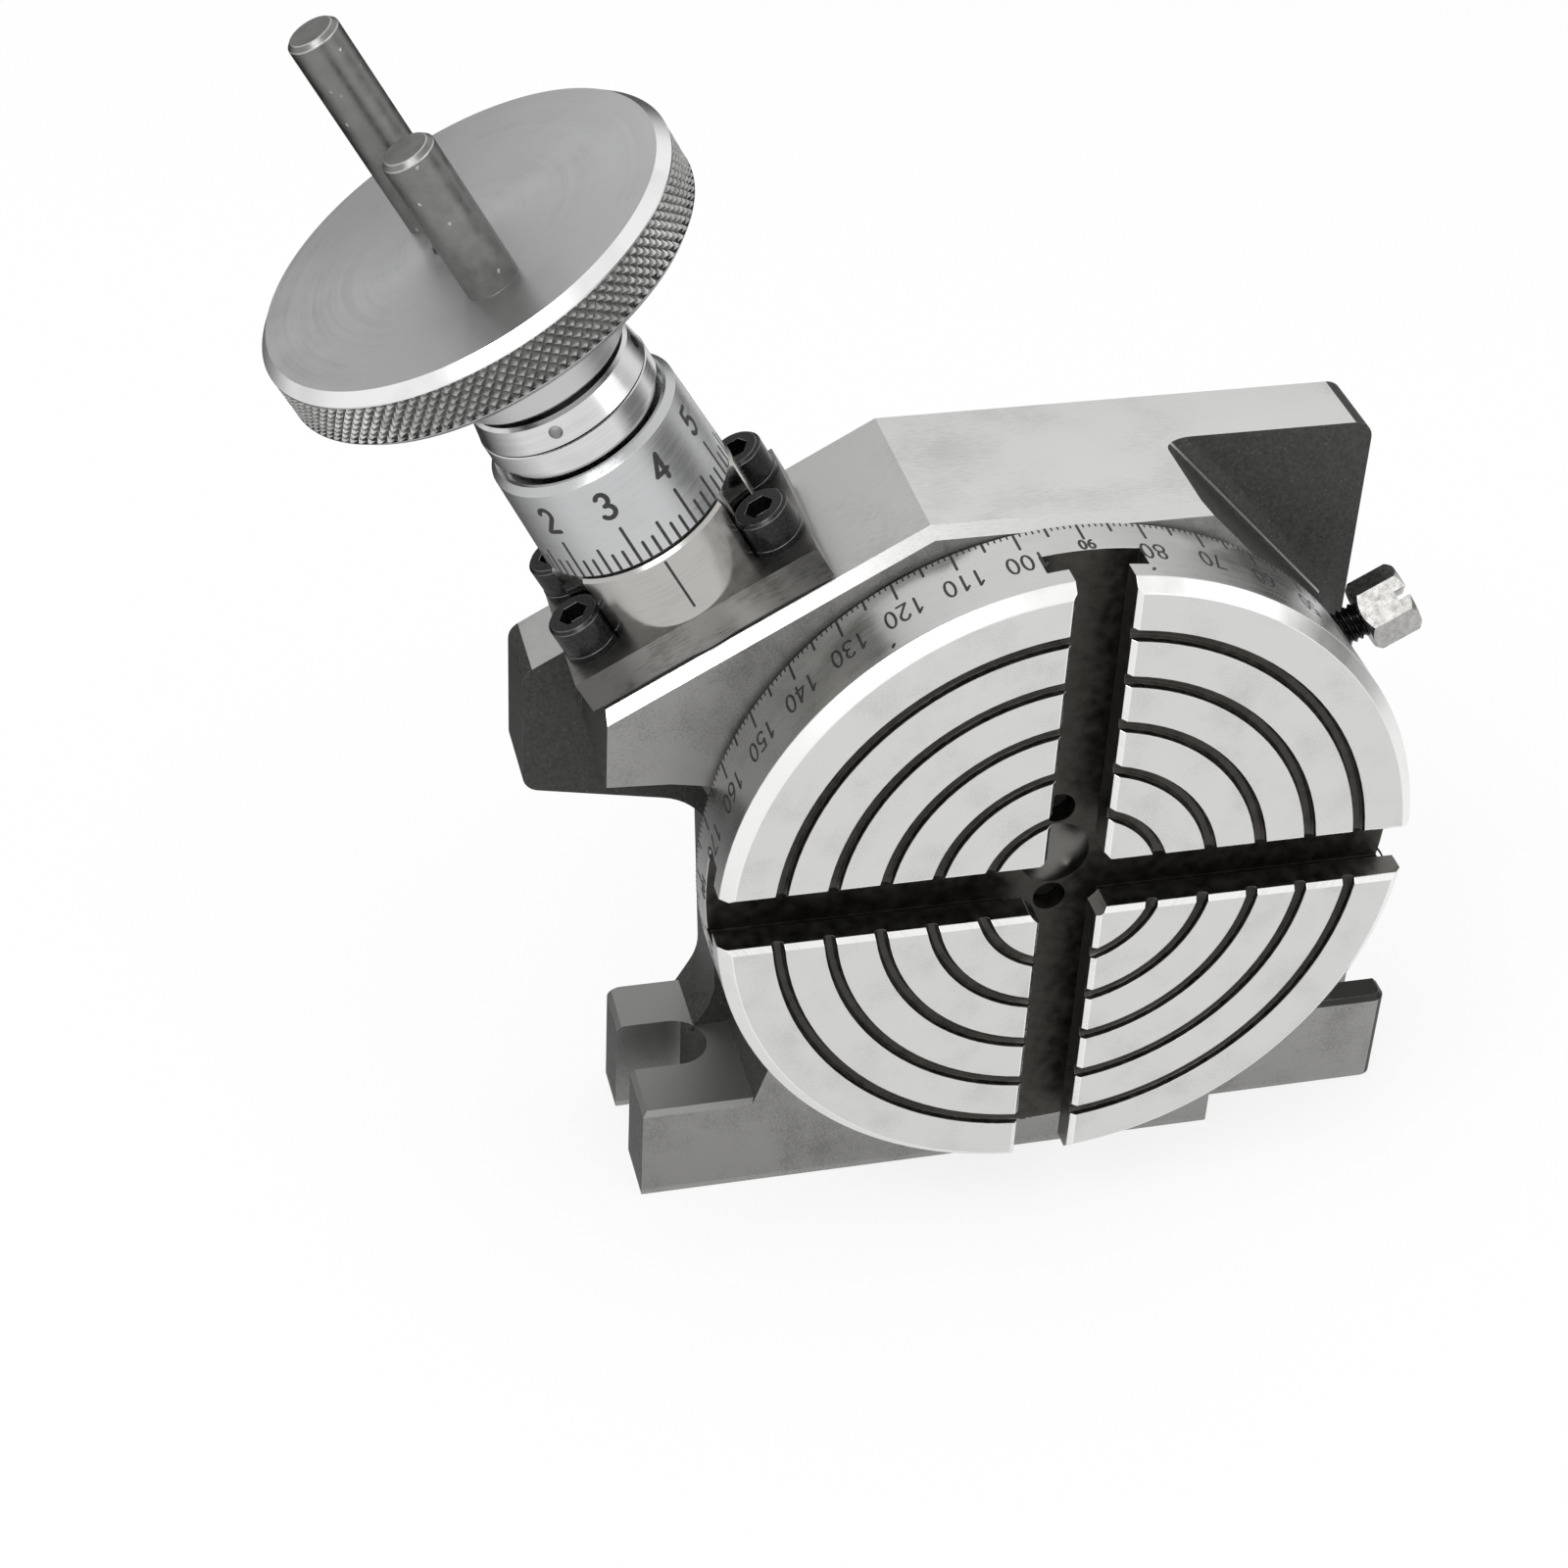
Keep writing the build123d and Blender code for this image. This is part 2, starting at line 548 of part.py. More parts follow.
def table_spindle():
    """Spindle: flange in the table, journal in the casting, seat for the wheel and for the nut."""
    flange_front = TABLE_REAR - SPINDLE_FLANGE_THICKNESS
    spindle = turned(
        TABLE_PLANE,
        [
            (0, flange_front),
            (SPINDLE_FLANGE_RADIUS, flange_front),
            (SPINDLE_FLANGE_RADIUS, TABLE_REAR),
            (SPINDLE_JOURNAL_RADIUS, TABLE_REAR),
            (SPINDLE_JOURNAL_RADIUS, WHEEL_FRONT),
            (WHEEL_SEAT_RADIUS, WHEEL_FRONT),
            (WHEEL_SEAT_RADIUS, WHEEL_BACK),
            (NUT_SEAT_RADIUS, WHEEL_BACK),
            (NUT_SEAT_RADIUS, SPINDLE_END - BROKEN_EDGE),
            (NUT_SEAT_RADIUS - BROKEN_EDGE, SPINDLE_END),
            (0, SPINDLE_END),
        ],
    )
    plug_bore_end = SLOT_FLOOR + PLUG_SHANK_LENGTH + SCREW_ROOM
    spindle -= rod(TABLE_PLANE, PLUG_SHANK_RADIUS + SEAT_FIT, flange_front - OVERLAP, plug_bore_end)
    tapped_end = SLOT_FLOOR + TAPPED_HOLE_DEPTH
    for z in (-TAPPED_HOLE_SPACING / 2, TAPPED_HOLE_SPACING / 2):
        spindle -= rod(TABLE_PLANE, TAPPED_HOLE_RADIUS, flange_front - OVERLAP, tapped_end, (0, z))
    for screw in table_screws():
        spindle -= screw
    key_room = key_block(SEAT_FIT)
    return spindle - key_room


def key_block(clearance):
    """The parallel key between spindle and worm wheel, or its room with a clearance."""
    middle = WHEEL_FRONT + WHEEL_WIDTH / 2
    block = Box(KEY_WIDTH + 2 * clearance, KEY_LENGTH + 2 * clearance, KEY_HEIGHT + 2 * clearance)
    return Pos(0, middle, AXIS_HEIGHT + WHEEL_SEAT_RADIUS) * block


def involute(angle):
    """Involute function of a pressure angle in radians."""
    return math.tan(angle) - angle


def gap_corner(radius, side):
    """A point on the flank of a wheel's gap, seen along the gap, from its middle at the pitch circle."""
    base = WHEEL_PITCH_RADIUS * math.cos(math.radians(PRESSURE_ANGLE))
    spread = involute(math.radians(PRESSURE_ANGLE)) - involute(math.acos(base / radius))
    half_tooth = math.pi / 2 / WHEEL_TEETH - TOOTH_PLAY / WHEEL_PITCH_RADIUS + spread
    half_gap = side * (math.pi / WHEEL_TEETH - half_tooth)
    return (radius * math.sin(half_gap), radius * math.cos(half_gap) - WHEEL_PITCH_RADIUS)


def wheel_gap():
    """Outline of one gap: involute flanks down to the base circle, then straight to the root."""
    base = WHEEL_PITCH_RADIUS * math.cos(math.radians(PRESSURE_ANGLE)) + FLANK_START
    outer = WHEEL_TIP_RADIUS + GAP_CUTTER_RISE * MODULE
    root = -TOOTH_DEDENDUM * MODULE
    left = [gap_corner(radius, -1) for radius in (base, WHEEL_PITCH_RADIUS, outer)]
    right = [gap_corner(radius, 1) for radius in (outer, WHEEL_PITCH_RADIUS, base)]
    foot = Polyline(right[2], (right[2][0], root), (left[0][0], root), left[0])
    edges = ThreePointArc(*left).edges() + Line(left[2], right[0]).edges()
    return make_face(edges + ThreePointArc(*right).edges() + foot.edges())


def worm_wheel():
    """Bronze worm wheel: involute gaps set to the worm's lead, and a keyway."""
    lead = math.atan(WORM_PITCH / (2 * math.pi * WORM_PITCH_RADIUS))
    bore = WHEEL_SEAT_RADIUS + SEAT_FIT
    wheel = turned(
        TABLE_PLANE,
        [
            (bore, WHEEL_FRONT),
            (WHEEL_TIP_RADIUS - BROKEN_EDGE, WHEEL_FRONT),
            (WHEEL_TIP_RADIUS, WHEEL_FRONT + BROKEN_EDGE),
            (WHEEL_TIP_RADIUS, WHEEL_BACK - BROKEN_EDGE),
            (WHEEL_TIP_RADIUS - BROKEN_EDGE, WHEEL_BACK),
            (bore, WHEEL_BACK),
        ],
    )
    outline = wheel_gap()
    gaps = []
    for i in range(WHEEL_TEETH):
        angle = math.radians(180 + WORM_TILT) + 2 * math.pi * i / WHEEL_TEETH
        outward = Vector(math.cos(angle), 0, math.sin(angle))
        along = Vector(math.sin(angle), 0, -math.cos(angle))
        gap_axis = Vector(0, 1, 0) * math.cos(lead) + along * math.sin(lead)
        centre = Vector(0, 0, AXIS_HEIGHT) + outward * WHEEL_PITCH_RADIUS
        gap_plane = Plane(origin=centre, x_dir=outward.cross(gap_axis), z_dir=gap_axis)
        gaps.append(extrude(gap_plane * outline, WHEEL_WIDTH, both=True))
    return wheel - gaps - key_block(SEAT_FIT)


def ring_nut():
    """Notched nut that holds the worm wheel against the spindle's shoulder."""
    nut = turned(
        TABLE_PLANE,
        [
            (NUT_SEAT_RADIUS + SEAT_FIT, WHEEL_BACK),
            (NUT_RADIUS, WHEEL_BACK),
            (NUT_RADIUS, NUT_BACK - BROKEN_EDGE),
            (NUT_RADIUS - BROKEN_EDGE, NUT_BACK),
            (NUT_SEAT_RADIUS + SEAT_FIT, NUT_BACK),
        ],
    )
    middle = (WHEEL_BACK + NUT_BACK) / 2
    for i in range(NUT_NOTCHES):
        notch = Pos(NUT_RADIUS, 0, 0) * Box(2 * NUT_NOTCH_DEPTH, 2 * NUT_THICKNESS, NUT_NOTCH_WIDTH)
        turn = NUT_NOTCH_START + 360 * i / NUT_NOTCHES
        nut -= Pos(0, middle, AXIS_HEIGHT) * Rot(0, turn, 0) * notch
    return nut


def centre_plug():
    """Low domed plug in the middle of the slots' floor, with its shank in the spindle."""
    crown = SLOT_FLOOR - PLUG_HEAD_RISE
    dome_radius = (PLUG_HEAD_RADIUS**2 + PLUG_HEAD_RISE**2) / (2 * PLUG_HEAD_RISE)
    half_sweep = math.asin(PLUG_HEAD_RADIUS / dome_radius) / 2
    bulge = (dome_radius * math.sin(half_sweep), 0, crown + dome_radius * (1 - math.cos(half_sweep)))
    dome = ThreePointArc((0, 0, crown), bulge, (PLUG_HEAD_RADIUS, 0, SLOT_FLOOR))
    rest = Polyline(
        (PLUG_HEAD_RADIUS, 0, SLOT_FLOOR),
        (PLUG_SHANK_RADIUS, 0, SLOT_FLOOR),
        (PLUG_SHANK_RADIUS, 0, SLOT_FLOOR + PLUG_SHANK_LENGTH),
        (0, 0, SLOT_FLOOR + PLUG_SHANK_LENGTH),
        (0, 0, crown),
    )
    return TABLE_PLANE * revolve(make_face(dome.edges() + rest.edges()), Axis.Z)


def cover_screws():
    """Countersunk screws of the rear cover."""
    return countersunk_screws(
        COVER_SCREW_RADIUS,
        COVER_SCREW_HEAD_RADIUS,
        COVER_SCREW_LENGTH,
        COVER_BACK,
        COVER_SCREW_PLACES,
    )


def rear_cover():
    """Round cover that closes the wheel's chamber, just below the casting's back face."""
    cover = turned(
        TABLE_PLANE,
        [
            (0, COVER_FRONT),
            (COVER_RADIUS, COVER_FRONT),
            (COVER_RADIUS, COVER_BACK - BROKEN_EDGE),
            (COVER_RADIUS - BROKEN_EDGE, COVER_BACK),
            (0, COVER_BACK),
        ],
    )
    for screw in cover_screws():
        cover -= screw
    return cover


def worm_housing():
    """Bearing housing of the worm: sleeve in the casting, screwed flange and round boss."""
    bore = BUSH_RADIUS + SEAT_FIT
    core = turned(
        WORM_PLANE,
        [
            (bore, SLEEVE_LOWER_END),
            (SLEEVE_RADIUS, SLEEVE_LOWER_END),
            (SLEEVE_RADIUS, SLANT_FACE + OVERLAP),
            (HOUSING_BOSS_RADIUS, SLANT_FACE + OVERLAP),
            (HOUSING_BOSS_RADIUS, BOSS_TOP - BROKEN_EDGE),
            (HOUSING_BOSS_RADIUS - BROKEN_EDGE, BOSS_TOP),
            (bore, BOSS_TOP),
        ],
    )
    flange = extrude(Rectangle(FLANGE_LENGTH, FLANGE_DEPTH), FLANGE_THICKNESS)
    flange = chamfer(flange.faces().sort_by(Axis.Z)[0].edges(), FLANGE_CHAMFER)
    housing = core + WORM_PLANE * (Pos(0, 0, SLANT_FACE) * flange)
    housing -= rod(WORM_PLANE, bore, SLANT_FACE - OVERLAP, BOSS_TOP + OVERLAP)
    for x in (-FLANGE_SCREW_X, FLANGE_SCREW_X):
        for y in (-FLANGE_SCREW_Y, FLANGE_SCREW_Y):
            scallop = WASHER_RADIUS + SCREW_SCALLOP_CLEARANCE
            housing -= rod(WORM_PLANE, SCREW_HOLE_RADIUS, SLANT_FACE - OVERLAP, BOSS_TOP, (x, y))
            housing -= rod(WORM_PLANE, scallop, FLANGE_TOP, BOSS_TOP + OVERLAP, (x, y))
    return housing


def flange_screws():
    """Socket head screws of the worm housing."""
    head_low = FLANGE_TOP + WASHER_THICKNESS
    screws = []
    for x in (-FLANGE_SCREW_X, FLANGE_SCREW_X):
        for y in (-FLANGE_SCREW_Y, FLANGE_SCREW_Y):
            at_place = moved_plane(WORM_PLANE, (x, y), head_low)
            screw = turned(
                at_place,
                [
                    (0, -SCREW_LENGTH),
                    (SCREW_RADIUS, -SCREW_LENGTH),
                    (SCREW_RADIUS, 0),
                    (SCREW_HEAD_RADIUS, 0),
                    (SCREW_HEAD_RADIUS, SCREW_HEAD_HEIGHT - BROKEN_EDGE),
                    (SCREW_HEAD_RADIUS - BROKEN_EDGE, SCREW_HEAD_HEIGHT),
                    (0, SCREW_HEAD_HEIGHT),
                ],
            )
            hexagon = RegularPolygon(SCREW_SOCKET_FLATS / 2, 6, major_radius=False)
            bottom = Pos(0, 0, SCREW_HEAD_HEIGHT - SCREW_SOCKET_DEPTH) * hexagon
            screws.append(screw - at_place * extrude(bottom, SCREW_SOCKET_DEPTH + OVERLAP))
    return screws


def flange_washers():
    """Spring washers under the housing's screws."""
    washers = []
    for x in (-FLANGE_SCREW_X, FLANGE_SCREW_X):
        for y in (-FLANGE_SCREW_Y, FLANGE_SCREW_Y):
            outer = rod(WORM_PLANE, WASHER_RADIUS, FLANGE_TOP, FLANGE_TOP + WASHER_THICKNESS, (x, y))
            top = FLANGE_TOP + WASHER_THICKNESS + OVERLAP
            inner = rod(WORM_PLANE, SCREW_RADIUS + SEAT_FIT, FLANGE_TOP - OVERLAP, top, (x, y))
            washers.append(outer - inner)
    return washers


def bush(inner, outer, low, high):
    """A plain bronze bush on the worm's axis."""
    return turned(
        WORM_PLANE,
        [
            (inner, low),
            (outer, low),
            (outer, high - BROKEN_EDGE),
            (outer - BROKEN_EDGE, high),
            (inner, high),
        ],
    )


def upper_worm_bush():
    """Bush under the dial, flush with the housing's boss."""
    return bush(SHAFT_RADIUS + RUNNING_FIT, BUSH_RADIUS, BOSS_TOP - UPPER_BUSH_LENGTH, BOSS_TOP)


def middle_worm_bush():
    """Bush at the lower end of the housing's sleeve."""
    high = SLEEVE_LOWER_END + MIDDLE_BUSH_LENGTH
    return bush(SHAFT_RADIUS + RUNNING_FIT, BUSH_RADIUS, SLEEVE_LOWER_END, high)


def lower_worm_bush():
    """Bush in the casting for the worm's lower journal."""
    low = LOWER_BUSH_TOP - LOWER_BUSH_LENGTH
    return bush(LOWER_JOURNAL_RADIUS + RUNNING_FIT, LOWER_BUSH_RADIUS, low, LOWER_BUSH_TOP)


def thrust_washer():
    """Washer between the worm's shoulder and the sleeve."""
    return turned(
        WORM_PLANE,
        [
            (SHAFT_RADIUS + RUNNING_FIT, THRUST_WASHER_BOTTOM),
            (THRUST_WASHER_RADIUS, THRUST_WASHER_BOTTOM),
            (THRUST_WASHER_RADIUS, THRUST_WASHER_TOP),
            (SHAFT_RADIUS + RUNNING_FIT, THRUST_WASHER_TOP),
        ],
    )


def worm_shaft():
    """Worm and shaft in one piece: right-hand single-start thread, journals and wheel seat."""
    core = turned(
        WORM_PLANE,
        [
            (0, LOWER_SHOULDER - LOWER_JOURNAL_LENGTH),
            (LOWER_JOURNAL_RADIUS - BROKEN_EDGE, LOWER_SHOULDER - LOWER_JOURNAL_LENGTH),
            (LOWER_JOURNAL_RADIUS, LOWER_SHOULDER - LOWER_JOURNAL_LENGTH + BROKEN_EDGE),
            (LOWER_JOURNAL_RADIUS, LOWER_SHOULDER),
            (WORM_ROOT_RADIUS, LOWER_SHOULDER),
            (WORM_ROOT_RADIUS, UPPER_SHOULDER),
            (SHAFT_RADIUS, UPPER_SHOULDER),
            (SHAFT_RADIUS, SHAFT_SHOULDER),
            (SHAFT_END_RADIUS, SHAFT_SHOULDER),
            (SHAFT_END_RADIUS, WHEEL_FACE - SHAFT_END_SUNK - BROKEN_EDGE),
            (SHAFT_END_RADIUS - BROKEN_EDGE, WHEEL_FACE - SHAFT_END_SUNK),
            (0, WHEEL_FACE - SHAFT_END_SUNK),
        ],
    )
    shaft = core + worm_thread()
    shaft -= hub_pin_hole()
    return shaft


def worm_thread():
    """The worm's helical ridge, from a trapezoid swept along its root."""
    rise = math.tan(math.radians(PRESSURE_ANGLE))
    half_at_pitch = WORM_PITCH / 4 - TOOTH_PLAY
    low = WORM_ROOT_RADIUS - THREAD_ROOT_SINK
    half_low = half_at_pitch + rise * (WORM_PITCH_RADIUS - low)
    half_top = half_at_pitch - rise * MODULE
    start = -WORM_LENGTH / 2
    path = Pos(0, 0, start) * Helix(WORM_PITCH, WORM_LENGTH, WORM_PITCH_RADIUS)
    profile = make_face(
        Polyline(
            (low, 0, start - half_low),
            (WORM_TIP_RADIUS, 0, start - half_top),
            (WORM_TIP_RADIUS, 0, start + half_top),
            (low, 0, start + half_low),
            close=True,
        ).edges()
    )
    ridge = sweep(profile, path=path, is_frenet=True)
    return WORM_PLANE * ridge


def across_worm(height):
    """Plane through the worm's axis at a height, with its Z axis along Y."""
    origin = WORM_PLANE.from_local_coords((0, 0, height))
    return Plane(origin=origin, x_dir=WORM_PLANE.z_dir, z_dir=(0, 1, 0))


def hub_pin_hole():
    """Cross hole of the pin that ties the dial's hub to the shaft."""
    reach = HUB_THREAD_RADIUS + OVERLAP
    return rod(across_worm(HUB_PIN_PLACE), HUB_PIN_RADIUS + SEAT_FIT, -reach, reach)


def dial_hub():
    """Hub pinned to the shaft: low flange and plain seat for the dial, thread for its lock nut."""
    bore = SHAFT_RADIUS + SEAT_FIT
    hub = turned(
        WORM_PLANE,
        [
            (bore, HUB_START),
            (HUB_FLANGE_RADIUS, HUB_START),
            (HUB_FLANGE_RADIUS, HUB_START + HUB_FLANGE_THICKNESS),
            (DIAL_BORE_RADIUS - RUNNING_FIT, HUB_START + HUB_FLANGE_THICKNESS),
            (DIAL_BORE_RADIUS - RUNNING_FIT, DIAL_TOP - 2 * DIAL_RECESS_DEPTH),
            (HUB_THREAD_RADIUS - RUNNING_FIT, DIAL_TOP - 2 * DIAL_RECESS_DEPTH),
            (HUB_THREAD_RADIUS - RUNNING_FIT, HUB_TOP - BROKEN_EDGE),
            (HUB_THREAD_RADIUS - BROKEN_EDGE, HUB_TOP),
            (bore, HUB_TOP),
        ],
    )
    return hub - hub_pin_hole()


def dial_hub_pin():
    """Pin through the dial's hub and the shaft."""
    reach = HUB_THREAD_RADIUS - BROKEN_EDGE
    return rod(across_worm(HUB_PIN_PLACE), HUB_PIN_RADIUS, -reach, reach)


def dial_ring():
    """Graduated dial: tapered ring on the hub's flange, with a bevelled top and a sunk lock face."""
    seat = HUB_START + HUB_FLANGE_THICKNESS + END_PLAY / 2
    return turned(
        WORM_PLANE,
        [
            (DIAL_BORE_RADIUS, seat),
            (HUB_FLANGE_RADIUS + END_PLAY, seat),
            (HUB_FLANGE_RADIUS + END_PLAY, DIAL_START),
            (DIAL_LOW_RADIUS - FINE_EDGE, DIAL_START),
            (DIAL_LOW_RADIUS, DIAL_START + FINE_EDGE),
            (DIAL_TOP_RADIUS, DIAL_TOP - DIAL_BEVEL),
            (DIAL_TOP_RADIUS - DIAL_BEVEL, DIAL_TOP),
            (DIAL_RECESS_RADIUS, DIAL_TOP),
            (DIAL_RECESS_RADIUS, DIAL_TOP - DIAL_RECESS_DEPTH),
            (DIAL_BORE_RADIUS, DIAL_TOP - DIAL_RECESS_DEPTH),
        ],
    )


def dial_pressure_ring():
    """Plain ring that the lock nut presses on the dial."""
    neck_top = PRESSURE_RING_START + DIAL_RECESS_DEPTH + PRESSURE_RING_NECK_HEIGHT
    return turned(
        WORM_PLANE,
        [
            (HUB_THREAD_RADIUS, PRESSURE_RING_START),
            (PRESSURE_RING_NECK_RADIUS, PRESSURE_RING_START),
            (PRESSURE_RING_NECK_RADIUS, neck_top),
            (PRESSURE_RING_RADIUS, neck_top + FINE_EDGE),
            (PRESSURE_RING_RADIUS, PRESSURE_RING_TOP - FINE_EDGE),
            (PRESSURE_RING_RADIUS - FINE_EDGE, PRESSURE_RING_TOP),
            (HUB_THREAD_RADIUS, PRESSURE_RING_TOP),
        ],
    )


def dial_lock_nut():
    """Polished lock nut of the dial, with radial holes for a pin spanner."""
    low = PRESSURE_RING_TOP + END_PLAY / 2
    high = low + LOCK_NUT_HEIGHT
    nut = turned(
        WORM_PLANE,
        [
            (HUB_THREAD_RADIUS, low),
            (LOCK_NUT_LOW_RADIUS - FINE_EDGE, low),
            (LOCK_NUT_LOW_RADIUS, low + FINE_EDGE),
            (LOCK_NUT_TOP_RADIUS, high - BROKEN_EDGE),
            (LOCK_NUT_TOP_RADIUS - BROKEN_EDGE, high),
            (HUB_THREAD_RADIUS, high),
        ],
    )
    middle = low + LOCK_NUT_HEIGHT / 2
    for i in range(LOCK_NUT_HOLES):
        angle = math.radians(LOCK_NUT_HOLE_START + 360 * i / LOCK_NUT_HOLES)
        outward = (math.cos(angle), math.sin(angle), 0)
        hole_plane = Plane(origin=(0, 0, middle), x_dir=(0, 0, 1), z_dir=outward)
        depth = LOCK_NUT_TOP_RADIUS - LOCK_NUT_HOLE_DEPTH
        nut -= WORM_PLANE * rod(hole_plane, LOCK_NUT_HOLE_RADIUS, depth, LOCK_NUT_LOW_RADIUS + OVERLAP)
    return nut


def handwheel():
    """Handwheel: flat turned disc with a thick rim, a web and a long hub."""
    web_low = WHEEL_RIM_START + WHEEL_UNDERCUT
    wheel = turned(
        WORM_PLANE,
        [
            (SHAFT_RADIUS + SEAT_FIT, WHEEL_HUB_START),
            (WHEEL_HUB_RADIUS - BROKEN_EDGE, WHEEL_HUB_START),
            (WHEEL_HUB_RADIUS, WHEEL_HUB_START + BROKEN_EDGE),
            (WHEEL_HUB_RADIUS, web_low - WHEEL_HUB_FLARE),
            (WHEEL_HUB_RADIUS + WHEEL_HUB_FLARE, web_low),
            (WHEEL_RADIUS - WHEEL_RIM_WALL, web_low),
            (WHEEL_RADIUS - WHEEL_RIM_WALL, WHEEL_RIM_START),
            (WHEEL_RADIUS - WHEEL_UNDER_CHAMFER, WHEEL_RIM_START),
            (WHEEL_RADIUS, WHEEL_RIM_START + WHEEL_UNDER_CHAMFER),
            (WHEEL_RADIUS, WHEEL_FACE - WHEEL_FACE_CHAMFER),
            (WHEEL_RADIUS - WHEEL_FACE_CHAMFER, WHEEL_FACE),
            (SHAFT_END_RADIUS + SEAT_FIT, WHEEL_FACE),
            (SHAFT_END_RADIUS + SEAT_FIT, SHAFT_SHOULDER),
            (SHAFT_RADIUS + SEAT_FIT, SHAFT_SHOULDER),
        ],
    )
    for place in (LONG_PIN_PLACE, SHORT_PIN_PLACE):
        low = WHEEL_FACE - FINGER_PIN_SPIGOT_LENGTH - SCREW_ROOM
        wheel -= rod(WORM_PLANE, FINGER_PIN_SPIGOT_RADIUS + SEAT_FIT, low, WHEEL_FACE + OVERLAP, place)
    return wheel - set_screw_hole(SEAT_FIT, WHEEL_HUB_RADIUS + OVERLAP)


def set_screw_hole(clearance, reach):
    """Radial bore for the handwheel's set screw, up to the shaft."""
    return rod(across_worm(SET_SCREW_PLACE), SET_SCREW_RADIUS + clearance, SHAFT_END_RADIUS, reach)


def handwheel_set_screw():
    """Set screw that holds the handwheel on the shaft."""
    return set_screw_hole(0, SHAFT_END_RADIUS + SET_SCREW_LENGTH)


def finger_pin(place, length):
    """Plain pin on the handwheel's face, with a spigot pressed into the wheel."""
    return turned(
        moved_plane(WORM_PLANE, place, WHEEL_FACE),
        [
            (0, -FINGER_PIN_SPIGOT_LENGTH),
            (FINGER_PIN_SPIGOT_RADIUS, -FINGER_PIN_SPIGOT_LENGTH),
            (FINGER_PIN_SPIGOT_RADIUS, 0),
            (FINGER_PIN_RADIUS, 0),
            (FINGER_PIN_RADIUS, length - FINGER_PIN_CHAMFER),
            (FINGER_PIN_RADIUS - FINGER_PIN_CHAMFER, length),
            (0, length),
        ],
    )


def lock_slope_distance():
    """Distance from the table's axis to the right-hand slope along the lock screw."""
    angle = math.radians(LOCK_ANGLE)
    slope = math.tan(math.radians(RIGHT_SLOPE))
    return (BODY_TOP + BODY_TOP_RIGHT * slope) / (math.sin(angle) + math.cos(angle) * slope)


def lock_screw():
    """Table lock screw: slotted hexagon head and shank in the casting."""
    surface = lock_slope_distance()
    low = surface - LOCK_SCREW_INSIDE
    head = surface + LOCK_SCREW_EXPOSED
    shank = rod(LOCK_PLANE, LOCK_SCREW_RADIUS - RUNNING_FIT, low, head + OVERLAP)
    corners = LOCK_HEAD_FLATS / math.sqrt(3)
    top = head + LOCK_HEAD_LENGTH
    hexagon = RegularPolygon(LOCK_HEAD_FLATS / 2, 6, major_radius=False, rotation=30)
    block = extrude(Pos(0, 0, head) * hexagon, LOCK_HEAD_LENGTH)
    keep = turned(
        Plane.XY,
        [
            (0, head),
            (corners - LOCK_HEAD_CHAMFER, head),
            (corners, head + LOCK_HEAD_CHAMFER),
            (corners, top - LOCK_HEAD_CHAMFER),
            (corners - LOCK_HEAD_CHAMFER, top),
            (0, top),
        ],
    )
    slot = Pos(0, 0, top) * Box(3 * corners, LOCK_HEAD_SLOT_WIDTH, 2 * LOCK_HEAD_SLOT_DEPTH)
    return shank + LOCK_PLANE * Rot(0, 0, LOCK_HEAD_TURN) * ((block & keep) - slot)


def lock_pad():
    """Brass pad between the lock screw and the spindle's journal."""
    low = SPINDLE_JOURNAL_RADIUS + LOCK_TRAVEL + 3 * END_PLAY / 2
    high = lock_slope_distance() - LOCK_SCREW_INSIDE - END_PLAY / 2
    return rod(LOCK_PLANE, LOCK_SCREW_RADIUS - RUNNING_FIT, low, high)


os.makedirs("parts", exist_ok=True)
nodes = {
    "body_casting": body_casting(),
    "rear_cover": rear_cover(),
    "cover_screws": Compound(children=cover_screws()),
    "worm_housing": worm_housing(),
    "flange_screws": Compound(children=flange_screws()),
    "flange_washers": Compound(children=flange_washers()),
    "upper_worm_bush": upper_worm_bush(),
    "middle_worm_bush": middle_worm_bush(),
    "lower_worm_bush": lower_worm_bush(),
    "thrust_washer": thrust_washer(),
    "table_disc": table_disc(),
    "table_spindle": table_spindle(),
    "table_screws": Compound(children=table_screws()),
    "worm_wheel": worm_wheel(),
    "wheel_key": key_block(0),
    "ring_nut": ring_nut(),
    "centre_plug": centre_plug(),
    "worm_shaft": worm_shaft(),
    "dial_hub": dial_hub(),
    "dial_hub_pin": dial_hub_pin(),
    "handwheel": handwheel(),
    "handwheel_set_screw": handwheel_set_screw(),
    "finger_pin_long": finger_pin(LONG_PIN_PLACE, LONG_PIN_LENGTH),
    "finger_pin_short": finger_pin(SHORT_PIN_PLACE, SHORT_PIN_LENGTH),
    "dial_ring": dial_ring(),
    "dial_pressure_ring": dial_pressure_ring(),
    "dial_lock_nut": dial_lock_nut(),
    "lock_pad": lock_pad(),
    "lock_screw": lock_screw(),
}
for name, shape in nodes.items():
    export_step(shape, f"parts/{name}.step")
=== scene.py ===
import bmesh
import bpy
import json
import math
from mathutils import Matrix, Vector


